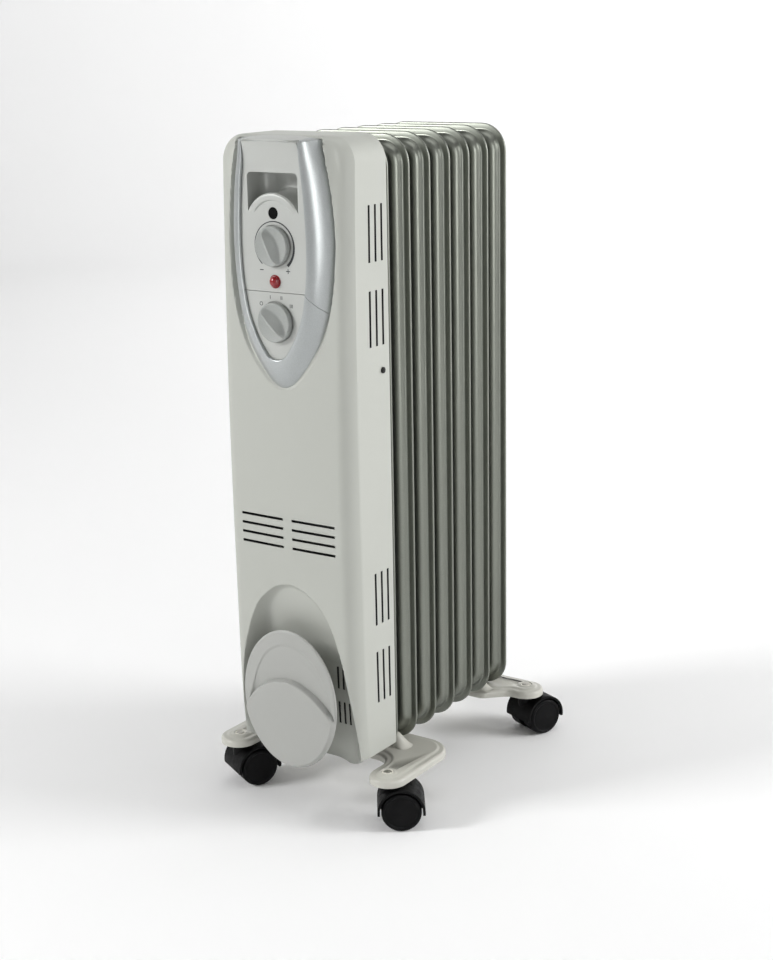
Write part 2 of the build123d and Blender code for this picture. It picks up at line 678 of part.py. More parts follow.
def wheel(side):
    """Moulded caster wheel with a dished outer face."""
    run = WHEEL_RADIUS
    near = WHEEL_INNER_FACE
    far = WHEEL_OUTER_FACE
    bore = AXLE_RADIUS + RUNNING_GAP
    edges = (
        Polyline((bore, near), (run - 1.5, near))
        + ThreePointArc((run - 1.5, near), (run - 0.44, near + 0.44), (run, near + 1.5))
        + Line((run, near + 1.5), (run, far - 3.0))
        + ThreePointArc((run, far - 3.0), (run - 0.88, far - 0.88), (run - 3.0, far))
        + Polyline((run - 3.0, far), (run - 4.5, far - 0.8), (0, far - 0.2), (0, far - 2.4))
        + Polyline((0, far - 2.4), (bore, far - 2.4), (bore, near))
    )
    turned = revolve(Plane.XZ * make_face(edges), Axis.Z, 360)
    return Pos(TRAIL, 0, WHEEL_RADIUS) * Rot(-90 * side, 0, 0) * turned


def housing_screw(side):
    """Screw through the housing side into the tab of the mounting plate."""
    turn = Rot(0, 90, 0)
    shank = Pos(side * 70.3, SCREW_Y, SCREW_Z) * turn * Cylinder(SCREW_RADIUS, 7)
    head = Cylinder(SCREW_HEAD_RADIUS, SCREW_HEAD_HEIGHT)
    head = Pos(side * (HOUSING_HALF + SCREW_HEAD_HEIGHT / 2 + 0.2), SCREW_Y, SCREW_Z) * turn * head
    return shank + head


# ---- the whole heater ----
def build():
    """All nodes by name."""
    nodes = {}
    for index in range(FIN_COUNT):
        nodes[f"fin_{index + 1}"] = fin(index)
    nodes["header_collars"] = header_collars()
    nodes["heating_element"] = heating_element()
    nodes["element_flange"] = element_flange()
    nodes["element_gasket"] = ring(0, LOW_HEADER_Z, BOSS_FACE_RADIUS, HEADER_BORE, -12, -BOSS_FACE)
    nodes["filler_plug"] = filler_plug()
    cutout_cap = rod(0, CUTOUT_Z, CUTOUT_RADIUS - 5, -17, -14)
    nodes["thermal_cutout"] = rod(0, CUTOUT_Z, CUTOUT_RADIUS, -14, -HEM / 2) + cutout_cap
    nodes["mounting_plate"] = mounting_plate()
    nodes["housing_shell"] = housing_shell()
    nodes["housing_screws"] = Compound(children=[housing_screw(side) for side in (-1, 1)])
    bezel = bezel_shell() - split_band()
    nodes["bezel_upper"] = bezel & upper_half_space()
    nodes["bezel_lower"] = bezel - upper_half_space()
    nodes["panel_upper"] = panel_upper()
    nodes["panel_lower"] = panel_lower()
    nodes["grip_cup"] = grip_cup()
    nodes["round_blank"] = rod(0, BLANK_Z, BLANK_RADIUS, PANEL_Y + 0.4, PANEL_Y + PANEL_THICKNESS)
    nodes["pilot_lens"] = pilot_lens()
    nodes["pilot_lamp"] = rod(0, PILOT_Z, 3.5, PANEL_Y + PANEL_THICKNESS, -52)
    nodes["thermostat"] = thermostat()
    nodes["thermostat_shaft"] = shaft(THERMOSTAT_Z, -58)
    nodes["thermostat_knob"] = knob(THERMOSTAT_Z, THERMOSTAT_POINTER)
    nodes["selector_switch"] = selector_switch()
    nodes["selector_shaft"] = shaft(SELECTOR_Z, -58)
    nodes["selector_knob"] = knob(SELECTOR_Z, SELECTOR_POINTER)
    nodes["terminal_block"] = block(TERMINAL_X, TERMINAL_Y, TERMINAL_Z)
    nodes["internal_wires"] = internal_wires()
    nodes["cord_gland"] = cord_gland()
    nodes["cord_cover"] = cord_cover()
    nodes["cord_hub"] = cord_hub()
    nodes["front_bracket"] = bracket(front_outline(), FIRST_GAP_Y, FRONT_STEM)
    nodes["rear_bracket"] = bracket(rear_outline(), LAST_GAP_Y, REAR_STEM)
    nodes["bracket_bolts"] = Compound(children=[u_bolt(FIRST_GAP_Y), u_bolt(LAST_GAP_Y)])
    nuts = [wing_nut(x, y) for x in (-BOLT_X, BOLT_X) for y in (FIRST_GAP_Y, LAST_GAP_Y)]
    nodes["wing_nuts"] = Compound(children=nuts)
    nodes["caster_sockets"] = Compound(children=[caster_socket(x, y) for x, y, _ in CASTERS.values()])
    for name, (x, y, heading) in CASTERS.items():
        nodes[f"hood_{name}"] = place_caster(hood(), x, y, heading)
        nodes[f"stem_{name}"] = place_caster(stem(), x, y, heading)
        nodes[f"axle_{name}"] = place_caster(axle(), x, y, heading)
        nodes[f"wheel_left_{name}"] = place_caster(wheel(1), x, y, heading)
        nodes[f"wheel_right_{name}"] = place_caster(wheel(-1), x, y, heading)
    return nodes


os.makedirs("parts", exist_ok=True)
low = Vector(1e9, 1e9, 1e9)
high = Vector(-1e9, -1e9, -1e9)
for node, shape in build().items():
    placed = Pos(0, -BOX_MIDDLE_Y, 0) * shape
    export_step(placed, f"parts/{node}.step")
    box = placed.bounding_box()
    low = Vector(min(low.X, box.min.X), min(low.Y, box.min.Y), min(low.Z, box.min.Z))
    high = Vector(max(high.X, box.max.X), max(high.Y, box.max.Y), max(high.Z, box.max.Z))
print("box", low, high)
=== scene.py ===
"""Looks of a seven-fin oil filled radiator heater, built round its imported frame.

All sizes in the classes are millimetres, apart from the studio's lamps. Y values called depths are measured
from the middle plane of the first fin: negative is towards the control panel.
"""
import json
import logging
import math
from contextlib import contextmanager
from dataclasses import dataclass
from enum import Enum
from typing import Iterator, Optional, Sequence

import bmesh
import bpy
import numpy as np
from mathutils import Matrix, Vector
from mathutils.geometry import delaunay_2d_cdt


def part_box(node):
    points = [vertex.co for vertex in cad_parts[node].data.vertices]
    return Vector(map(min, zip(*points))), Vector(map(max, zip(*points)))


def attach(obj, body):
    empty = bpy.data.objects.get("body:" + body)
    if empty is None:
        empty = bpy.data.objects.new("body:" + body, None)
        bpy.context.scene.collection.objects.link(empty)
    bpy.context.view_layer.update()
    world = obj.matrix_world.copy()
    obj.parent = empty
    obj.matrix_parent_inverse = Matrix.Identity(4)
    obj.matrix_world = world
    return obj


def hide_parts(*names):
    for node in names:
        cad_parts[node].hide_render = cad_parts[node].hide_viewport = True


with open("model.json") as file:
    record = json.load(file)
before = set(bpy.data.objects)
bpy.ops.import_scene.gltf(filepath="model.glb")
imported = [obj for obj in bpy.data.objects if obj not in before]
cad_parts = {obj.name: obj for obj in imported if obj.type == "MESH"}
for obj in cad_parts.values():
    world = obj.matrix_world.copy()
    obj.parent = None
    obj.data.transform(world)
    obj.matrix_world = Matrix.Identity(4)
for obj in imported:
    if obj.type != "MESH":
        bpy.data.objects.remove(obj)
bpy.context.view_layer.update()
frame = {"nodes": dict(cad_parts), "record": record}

LOG = logging.getLogger("heater")
MM = 0.001
# Size of the scuffed patches on every finish, and of the paint flakes, drawn coarse enough to show.
SCUFF_MM = 7.0
FLAKE_MM = 0.8

Point = tuple[float, float]
Object = bpy.types.Object


# ---------------------------------------------------------------- colour and materials

def linear(code: str) -> tuple[float, float, float, float]:
    """Turn an sRGB hex colour into linear light.

    Args:
        code: Six hex digits, with or without a leading #.

    Returns:
        Linear red, green, blue and an alpha of 1.
    """
    digits = code.lstrip("#")
    channels = [int(digits[i:i + 2], 16) / 255 for i in (0, 2, 4)]
    lit = [c / 12.92 if c <= 0.04045 else ((c + 0.055) / 1.055) ** 2.4 for c in channels]
    return (lit[0], lit[1], lit[2], 1.0)


def per_metre(size_mm: float) -> float:
    """Texture scale whose features are size_mm across."""
    return 1.0 / (size_mm * MM)


def add_node(tree: bpy.types.NodeTree, kind: str, values: Optional[dict] = None,
             links: Optional[dict] = None, **settings: object) -> bpy.types.Node:
    """Add one node with its settings, socket values and incoming links.

    Args:
        tree: The material's node tree.
        kind: Blender's type name of the node.
        values: Socket name or number to a fixed value.
        links: Socket name or number to the output that feeds it.
        settings: Properties of the node itself.

    Returns:
        The new node.
    """
    node = tree.nodes.new(kind)
    for name, value in settings.items():
        setattr(node, name, value)
    for name, value in (values or {}).items():
        node.inputs[name].default_value = value
    for name, output in (links or {}).items():
        tree.links.new(output, node.inputs[name])
    return node


@dataclass(frozen=True)
class Finish:
    """A surface finish: what the thing is made of and how its surface was made.

    Attributes:
        name: The real material and its surface.
        colour: sRGB hex of the clean surface.
        shade: sRGB hex that the mottling drifts to.
        roughness: Mean roughness.
        metallic: Share of metal in the look, as in flake paint.
        ior: Index of refraction.
        mottle_mm: Size of the slow colour drift.
        grain_mm: Size of the fine surface grain.
        grain_depth_mm: Height of the fine grain.
        wave_mm: Size of the slow waviness of a pressing, moulding or paint film.
        wave_depth_mm: Height of that waviness.
        flake: Strength of the sparkle of metal flake in the paint, 0 for none.
        coat: Clear layer over it.
        coat_roughness: Roughness of the clear layer.
        transmission: Share of light that passes through.
        specular: Strength of the highlight of a non-metal, 0.5 for the full one.
        scuff: Share by which the roughness drifts either way.
    """

    name: str
    colour: str
    shade: str
    roughness: float = 0.45
    metallic: float = 0.0
    ior: float = 1.5
    mottle_mm: float = 60.0
    grain_mm: float = 0.6
    grain_depth_mm: float = 0.01
    wave_mm: float = 18.0
    wave_depth_mm: float = 0.02
    flake: float = 0.0
    coat: float = 0.0
    coat_roughness: float = 0.1
    transmission: float = 0.0
    specular: float = 0.5
    scuff: float = 0.12

    def build(self) -> bpy.types.Material:
        """Make the node material.

        Returns:
            The finished material.
        """
        material = bpy.data.materials.new(self.name)
        material.use_nodes = True
        tree = material.node_tree
        tree.nodes.clear()
        place = add_node(tree, "ShaderNodeTexCoord").outputs["Object"]
        drift = add_node(tree, "ShaderNodeTexNoise", {"Scale": per_metre(self.mottle_mm), "Detail": 3.0},
                         {"Vector": place})
        tint = add_node(tree, "ShaderNodeMix", {6: linear(self.colour), 7: linear(self.shade)},
                        {0: drift.outputs[0]}, data_type="RGBA")
        scuffs = add_node(tree, "ShaderNodeTexNoise",
                          {"Scale": per_metre(SCUFF_MM), "Detail": 6.0, "Roughness": 0.65}, {"Vector": place})
        rough = add_node(tree, "ShaderNodeMapRange",
                         {"From Min": 0.3, "From Max": 0.7, "To Min": self.roughness * (1 - self.scuff),
                          "To Max": min(1.0, self.roughness * (1 + self.scuff))},
                         {"Value": scuffs.outputs[0]})
        shader = add_node(tree, "ShaderNodeBsdfPrincipled",
                          {"Metallic": self.metallic, "IOR": self.ior, "Coat Weight": self.coat,
                           "Coat Roughness": self.coat_roughness, "Transmission Weight": self.transmission,
                           "Specular IOR Level": self.specular},
                          {"Roughness": rough.outputs["Result"]})
        tree.links.new(self.coloured(tree, place, tint.outputs[2]), shader.inputs["Base Color"])
        tree.links.new(self.relief(tree, place), shader.inputs["Normal"])
        add_node(tree, "ShaderNodeOutputMaterial", links={"Surface": shader.outputs[0]})
        material.diffuse_color = linear(self.colour)
        return material

    def coloured(self, tree: bpy.types.NodeTree, place: bpy.types.NodeSocket,
                 tint: bpy.types.NodeSocket) -> bpy.types.NodeSocket:
        """Lay the flake sparkle over the drifting colour.

        Args:
            tree: The material's node tree.
            place: Coordinates fixed to the piece.
            tint: The drifting colour.

        Returns:
            The colour output.
        """
        if not self.flake:
            return tint
        flakes = add_node(tree, "ShaderNodeTexNoise", {"Scale": per_metre(FLAKE_MM), "Detail": 0.0},
                          {"Vector": place})
        spark = add_node(tree, "ShaderNodeMapRange",
                         {"From Min": 0.3, "From Max": 0.7, "To Min": 1.0 - self.flake,
                          "To Max": 1.0 + self.flake},
                         {"Value": flakes.outputs[0]})
        lit = add_node(tree, "ShaderNodeVectorMath", links={0: tint, 1: spark.outputs["Result"]},
                       operation="MULTIPLY")
        return lit.outputs[0]

    def relief(self, tree: bpy.types.NodeTree, place: bpy.types.NodeSocket) -> bpy.types.NodeSocket:
        """Fine grain on top of a slow waviness.

        Args:
            tree: The material's node tree.
            place: Coordinates fixed to the piece.

        Returns:
            The normal output.
        """
        wave = add_node(tree, "ShaderNodeTexNoise", {"Scale": per_metre(self.wave_mm), "Detail": 1.0},
                        {"Vector": place})
        slow = add_node(tree, "ShaderNodeBump", {"Strength": 1.0, "Distance": self.wave_depth_mm * MM},
                        {"Height": wave.outputs[0]})
        grain = add_node(tree, "ShaderNodeTexNoise", {"Scale": per_metre(self.grain_mm), "Detail": 2.0},
                         {"Vector": place})
        fine = add_node(tree, "ShaderNodeBump", {"Strength": 1.0, "Distance": self.grain_depth_mm * MM},
                        {"Height": grain.outputs[0], "Normal": slow.outputs[0]})
        return fine.outputs[0]


class Surface(Enum):
    """Every finish on the heater, by the record's material slot."""

    # Silver-grey stoved flake paint on pressed steel: soft metallic highlights with orange peel.
    FIN = ("fin_paint", Finish("stoved_flake_paint_on_steel", "878A82", "7F827A", 0.34, 0.85, mottle_mm=90,
                               grain_mm=1.6, grain_depth_mm=0.004, wave_mm=16, wave_depth_mm=0.03,
                               flake=0.04))
    # Pale warm grey ABS from a finely spark-eroded mould: an even satin with a faint grain.
    SHELL = ("shell_plastic", Finish("moulded_abs_satin_grey", "B9BBB4", "B4B6AF", 0.45, grain_mm=0.7,
                                     grain_depth_mm=0.012, wave_mm=45, wave_depth_mm=0.05))
    # ABS sprayed with silver lacquer: cool, bright, with long soft highlights.
    BEZEL = ("bezel_silver", Finish("silver_lacquered_abs", "B2B6B6", "ABAFAF", 0.32, 0.65, mottle_mm=40,
                                    grain_mm=0.6, grain_depth_mm=0.006, wave_mm=30, wave_depth_mm=0.03,
                                    flake=0.04, coat=0.25, coat_roughness=0.18))
    # Matt lacquered ABS panel, slightly darker than the shell, that takes the printed marks.
    PANEL = ("panel_plastic", Finish("lacquered_abs_panel", "BCBEBA", "B7B9B5", 0.40, 0.2, grain_mm=0.6,
                                     grain_depth_mm=0.008, wave_mm=30, wave_depth_mm=0.02))
    # Grey ABS of the cord-wrap cover, a shade darker and flatter than the shell.
    COVER = ("cover_plastic", Finish("moulded_abs_satin_mid_grey", "ADAEAA", "A8A9A5", 0.48, grain_mm=0.7,
                                     grain_depth_mm=0.012, wave_mm=35, wave_depth_mm=0.04))
    # Cream-grey stoved enamel on a steel pressing: glossier than plastic, with visible orange peel.
    BRACKET = ("bracket_paint", Finish("stoved_enamel_on_pressed_steel", "C6C5BC", "BFBEB5", 0.36,
                                       grain_mm=1.5, grain_depth_mm=0.02, wave_mm=12, wave_depth_mm=0.06,
                                       coat=0.2))
    # Black nylon, moulded with a satin face that scuffs paler in use.
    NYLON = ("black_plastic", Finish("moulded_black_nylon", "060607", "0A0A0B", 0.5, mottle_mm=12,
                                     grain_mm=0.8, grain_depth_mm=0.015, wave_mm=20, wave_depth_mm=0.03,
                                     specular=0.12, scuff=0.3))
    # Polished black plastic disc.
    BLANK = ("blank_black", Finish("polished_black_abs", "030303", "050505", 0.35, specular=0.1,
                                   grain_depth_mm=0.002, wave_depth_mm=0.005))
    # Clear red acrylic lens with a wet shine.
    PILOT = ("pilot_red", Finish("red_acrylic_lens", "9A0C1A", "8A0814", 0.16, coat=0.5, coat_roughness=0.05,
                                 grain_depth_mm=0.002, wave_depth_mm=0.01, transmission=0.1))
    # Zinc-plated fasteners and pins: bright, faintly yellow, slightly streaky.
    ZINC = ("bare_steel", Finish("zinc_plated_steel", "B8B6AE", "A19F98", 0.32, 1.0, mottle_mm=5,
                                 grain_mm=0.5, grain_depth_mm=0.01, scuff=0.35))
    # Small self-tapping screws with a black oxide skin.
    BLACK_SCREW = ("black_steel", Finish("black_oxide_steel", "2A2A2A", "343332", 0.4, 0.9, mottle_mm=3))
    # Galvanised sheet with a broad crystal pattern.
    SHEET = ("plate_steel", Finish("galvanised_sheet_steel", "A6A8A6", "8F9290", 0.40, 1.0, mottle_mm=14,
                                   grain_mm=1.0, scuff=0.35))
    # Heat-tinted steel tube.
    ELEMENT = ("element_steel", Finish("heat_tinted_steel_tube", "8C8378", "6F675E", 0.42, 1.0, mottle_mm=10))
    # Moulded seal.
    RUBBER = ("gasket_rubber", Finish("moulded_heatproof_rubber", "1B1B1B", "232323", 0.75, scuff=0.1))
    # Natural nylon bushes, waxy and slightly translucent in look.
    BUSH = ("white_nylon", Finish("moulded_natural_nylon", "E4E1D6", "DAD7CB", 0.45, coat=0.1))
    # Silicone wire sleeves.
    WIRE = ("wire_sleeve", Finish("silicone_wire_sleeve", "70747A", "666A70", 0.55))
    # Neon lamp tube.
    LAMP = ("lamp_glass", Finish("neon_lamp_glass", "E8B8A0", "E0A890", 0.08, transmission=0.8))
    # Dark thermoset switch bodies.
    THERMOSET = ("switch_plastic", Finish("moulded_thermoset", "45413D", "3C3835", 0.5))

    @property
    def slot(self) -> str:
        """The record's slot for this finish."""
        return self.value[0]

    @property
    def finish(self) -> Finish:
        """How the surface is made."""
        return self.value[1]


# Inside faces and vent walls of the housing: near-black painted shade, so the inside behind the vents reads
# as dark.
INNER_PAINTED_SHADE = Finish("inner_face_painted_shade", "1B1C1B", "202120", 0.6)
# The knobs' lacquer is matt, so their ridges shade softly instead of flashing.
KNOB = Finish("matt_silver_lacquer_on_abs", "A6A9A6", "A0A3A0", 0.5, 0.0, mottle_mm=25, grain_mm=0.6,
              grain_depth_mm=0.008, wave_mm=20, wave_depth_mm=0.02, flake=0.03, specular=0.3)
# Flat dark ink of the dial marks.
INK = Finish("screen_printed_ink", "2C2F31", "303335", 0.5, grain_depth_mm=0.0, wave_depth_mm=0.0)


class Paintbox:
    """Builds each material once and dresses pieces with it."""

    def __init__(self) -> None:
        """Start with no material made."""
        self.made: dict[str, bpy.types.Material] = {}

    def material(self, finish: Finish) -> bpy.types.Material:
        """The one material of a finish."""
        if finish.name not in self.made:
            self.made[finish.name] = finish.build()
        return self.made[finish.name]

    def dress(self, piece: Object, finish: Finish) -> None:
        """Give a piece one finish all over."""
        piece.data.materials.clear()
        piece.data.materials.append(self.material(finish))

    def dress_frame(self) -> None:
        """Dress every CAD node by its slot in the record."""
        by_slot = {surface.slot: surface.finish for surface in Surface}
        for part in frame["record"]["subparts"]:
            self.dress(frame["nodes"][part["node"]], by_slot[part["material_slot"]])


# ---------------------------------------------------------------- mesh tools

CREASE = 32.0
FORWARDS = Vector((0, -1, 0))
UPWARDS = Vector((0, 0, 1))


@contextmanager
def edited(piece: Object) -> Iterator[bmesh.types.BMesh]:
    """Open a piece's mesh for editing and write it back afterwards.

    Args:
        piece: The mesh object.

    Yields:
        The mesh in a form whose faces can be changed.
    """
    shape = bmesh.new()
    shape.from_mesh(piece.data)
    yield shape
    shape.to_mesh(piece.data)
    shape.free()


def new_piece(name: str, corners: np.ndarray, faces: Sequence[Sequence[int]],
              crease: float = CREASE) -> Object:
    """Make a smooth-shaded mesh object.

    Args:
        name: The piece's name.
        corners: Vertex places in millimetres, one row each.
        faces: Vertex numbers of each face.
        crease: Edges that turn by more than this many degrees stay sharp.

    Returns:
        The new object, in metres.
    """
    mesh = bpy.data.meshes.new(name)
    mesh.from_pydata((np.asarray(corners, float) * MM).tolist(), [], [list(f) for f in faces])
    mesh.validate()
    piece = bpy.data.objects.new(name, mesh)
    bpy.context.scene.collection.objects.link(piece)
    settle(piece, crease)
    return piece


def settle(piece: Object, crease: float = CREASE, merge_mm: float = 0.001) -> None:
    """Weld doubled points, face all faces outwards and mark the sharp edges.

    Args:
        piece: The mesh object.
        crease: Edges that turn by more than this many degrees stay sharp.
        merge_mm: Points closer than this become one.
    """
    limit = math.radians(crease)
    with edited(piece) as shape:
        bmesh.ops.remove_doubles(shape, verts=shape.verts, dist=merge_mm * MM)
        bmesh.ops.recalc_face_normals(shape, faces=shape.faces)
        for edge in shape.edges:
            edge.smooth = not (len(edge.link_faces) == 2 and edge.calc_face_angle(0) > limit)
        for face in shape.faces:
            face.smooth = True


def face_towards(piece: Object, direction: Vector) -> None:
    """Turn an open sheet over if it faces away from a direction.

    Args:
        piece: The sheet.
        direction: Where its faces have to look on the whole.
    """
    with edited(piece) as shape:
        facing = sum((face.normal * face.calc_area() for face in shape.faces), Vector())
        if facing.dot(direction) < 0:
            bmesh.ops.reverse_faces(shape, faces=shape.faces)


def grid_faces(rows: int, columns: int, wrap_columns: bool = False) -> list[list[int]]:
    """Quads of a grid of points stored row by row.

    Args:
        rows: Rows of points.
        columns: Points in a row.
        wrap_columns: Join the last column to the first.

    Returns:
        Vertex numbers of each quad.
    """
    faces = []
    for i in range(rows - 1):
        for j in range(columns if wrap_columns else columns - 1):
            here, beyond = i * columns, (i + 1) * columns
            after = (j + 1) % columns
            faces.append([here + j, here + after, beyond + after, beyond + j])
    return faces


def sheet_piece(name: str, grid: np.ndarray, wrap_columns: bool = False,
                crease: float = CREASE) -> Object:
    """One sheet through a grid of points.

    Args:
        name: The piece's name.
        grid: Points in millimetres, shaped rows by columns by 3.
        wrap_columns: Join the last column to the first.
        crease: Sharp edge limit in degrees.

    Returns:
        The new object.
    """
    rows, columns = grid.shape[:2]
    return new_piece(name, grid.reshape(-1, 3), grid_faces(rows, columns, wrap_columns=wrap_columns), crease)


def capped_piece(name: str, grid: np.ndarray, crease: float) -> Object:
    """Closed rings of points with a face over the last ring.

    Args:
        name: The piece's name.
        grid: Points in millimetres, one closed ring in each row.
        crease: Sharp edge limit in degrees.

    Returns:
        The new object.
    """
    rows, columns = grid.shape[:2]
    faces = grid_faces(rows, columns, wrap_columns=True)
    faces.append(list(range((rows - 1) * columns, rows * columns)))
    return new_piece(name, grid.reshape(-1, 3), faces, crease)


def stand_in(piece: Object, body: str, node: str) -> None:
    """Let a piece ride on a body in place of a CAD node.

    Args:
        piece: The finished piece.
        body: The body that carries it.
        node: The CAD node that it replaces.
    """
    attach(piece, body)
    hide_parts(node)
    LOG.info("%s: %d faces", piece.name, len(piece.data.polygons))


def apply_modifiers(piece: Object) -> None:
    """Turn a piece's modifiers into plain mesh."""
    bpy.context.view_layer.update()
    seen = piece.evaluated_get(bpy.context.evaluated_depsgraph_get())
    mesh = bpy.data.meshes.new_from_object(seen)
    old = piece.data
    piece.modifiers.clear()
    piece.data = mesh
    bpy.data.meshes.remove(old)


def thicken(piece: Object, wall: float, lined: bool = False) -> None:
    """Give a sheet a wall on the side away from its normals.

    Args:
        piece: The sheet.
        wall: Thickness in millimetres.
        lined: Put the inner face and the rims in the second material slot.
    """
    tool = piece.modifiers.new("wall", "SOLIDIFY")
    tool.material_offset = int(lined)
    tool.material_offset_rim = int(lined)
    tool.thickness = wall * MM
    tool.offset = -1.0
    tool.use_even_offset = True
    apply_modifiers(piece)


def join(pieces: Sequence[Object], name: str) -> Object:
    """Merge several mesh objects into one.

    Args:
        pieces: The objects, which are used up.
        name: Name of the merged object.

    Returns:
        The merged object.
    """
    shape = bmesh.new()
    for piece in pieces:
        shape.from_mesh(piece.data)
        bpy.data.objects.remove(piece)
    mesh = bpy.data.meshes.new(name)
    shape.to_mesh(mesh)
    shape.free()
    whole = bpy.data.objects.new(name, mesh)
    bpy.context.scene.collection.objects.link(whole)
    return whole


def cut(piece: Object, cutters: Sequence[Object]) -> None:
    """Take the volume of the cutters out of a piece.

    Args:
        piece: The object to cut.
        cutters: Closed solids, which are used up.
    """
    tool_shape = join(cutters, piece.name + "_cutter")
    tool = piece.modifiers.new("cut", "BOOLEAN")
    tool.operation = "DIFFERENCE"
    tool.solver = "EXACT"
    tool.object = tool_shape
    apply_modifiers(piece)
    bpy.data.objects.remove(tool_shape)


def prism(outline: Sequence[Point], front: float, back: float, name: str = "prism") -> Object:
    """Solid between two Y values.

    Args:
        outline: X and Z of its corners, counter-clockwise from the front.
        front: Y of the front face.
        back: Y of the back face.
        name: The piece's name.

    Returns:
        The new object.
    """
    count = len(outline)
    corners = [(x, front, z) for x, z in outline] + [(x, back, z) for x, z in outline]
    faces = [list(range(count)), list(reversed(range(count, 2 * count)))]
    faces += [[i, i + count, (i + 1) % count + count, (i + 1) % count] for i in range(count)]
    return new_piece(name, np.array(corners), faces)


def lathe(name: str, profile: Sequence[Point], origin: Sequence[float], axis: Vector, steps: int,
          crease: float = CREASE) -> Object:
    """Turn a profile of (radius, height) points about an axis.

    Args:
        name: The piece's name.
        profile: Points from the axis round to the axis, or a closed ring if neither end is on the axis.
        origin: Where height 0 is, in millimetres.
        axis: Direction of the height.
        steps: Sides of the turned shape.
        crease: Sharp edge limit in degrees.

    Returns:
        The new object.
    """
    turn = axis.to_track_quat("Z", "X").to_matrix()
    grid = np.zeros((len(profile), steps, 3))
    for j in range(steps):
        angle = 2 * math.pi * j / steps
        for i, (radius, height) in enumerate(profile):
            place = turn @ Vector((radius * math.cos(angle), radius * math.sin(angle), height))
            grid[i, j] = np.array(place) + np.array(origin)
    return sheet_piece(name, grid, wrap_columns=True, crease=crease)


def arc(centre: Point, radius: float, start: float, end: float, steps: int) -> list[Point]:
    """Points along an arc.

    Args:
        centre: Its centre.
        radius: Its radius.
        start: Angle of its first point, in degrees from +x.
        end: Angle of its last point.
        steps: Segments between them.

    Returns:
        One point more than there are segments.
    """
    angles = [math.radians(start + (end - start) * i / steps) for i in range(steps + 1)]
    return [(centre[0] + radius * math.cos(a), centre[1] + radius * math.sin(a)) for a in angles]


def smooth_curve(knots: Sequence[Sequence[float]], steps: int) -> np.ndarray:
    """Catmull-Rom curve through knots.

    Args:
        knots: Points of any dimension.
        steps: Points between one knot and the next.

    Returns:
        Points along the curve, both ends included.
    """
    points = np.array(knots, float)
    padded = np.vstack([2 * points[0] - points[1], points, 2 * points[-1] - points[-2]])
    found = []
    for i in range(1, len(padded) - 2):
        p0, p1, p2, p3 = padded[i - 1:i + 3]
        for k in range(steps):
            t = k / steps
            found.append(0.5 * (2 * p1 + (p2 - p0) * t + (2 * p0 - 5 * p1 + 4 * p2 - p3) * t * t
                                + (3 * p1 - p0 - 3 * p2 + p3) * t ** 3))
    found.append(points[-1])
    return np.array(found)


def ease(value: float) -> float:
    """Smooth step from 0 to 1."""
    held = min(1.0, max(0.0, value))
    return held * held * (3 - 2 * held)


@dataclass(frozen=True)
class Datum:
    """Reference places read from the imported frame, in millimetres."""

    fin_y: float
    pitch: float
    fin_half: float
    fin_low: float
    fin_high: float

    @classmethod
    def read(cls) -> "Datum":
        """Measure the first two fins."""
        low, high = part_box("fin_1")
        second_low, second_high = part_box("fin_2")
        first = (low.y + high.y) / 2 / MM
        second = (second_low.y + second_high.y) / 2 / MM
        return cls(first, second - first, high.x / MM, low.z / MM, high.z / MM)

    def depth(self, y: float) -> float:
        """Row-frame Y of a depth measured from the first fin."""
        return self.fin_y + y


# ---------------------------------------------------------------- fin stack

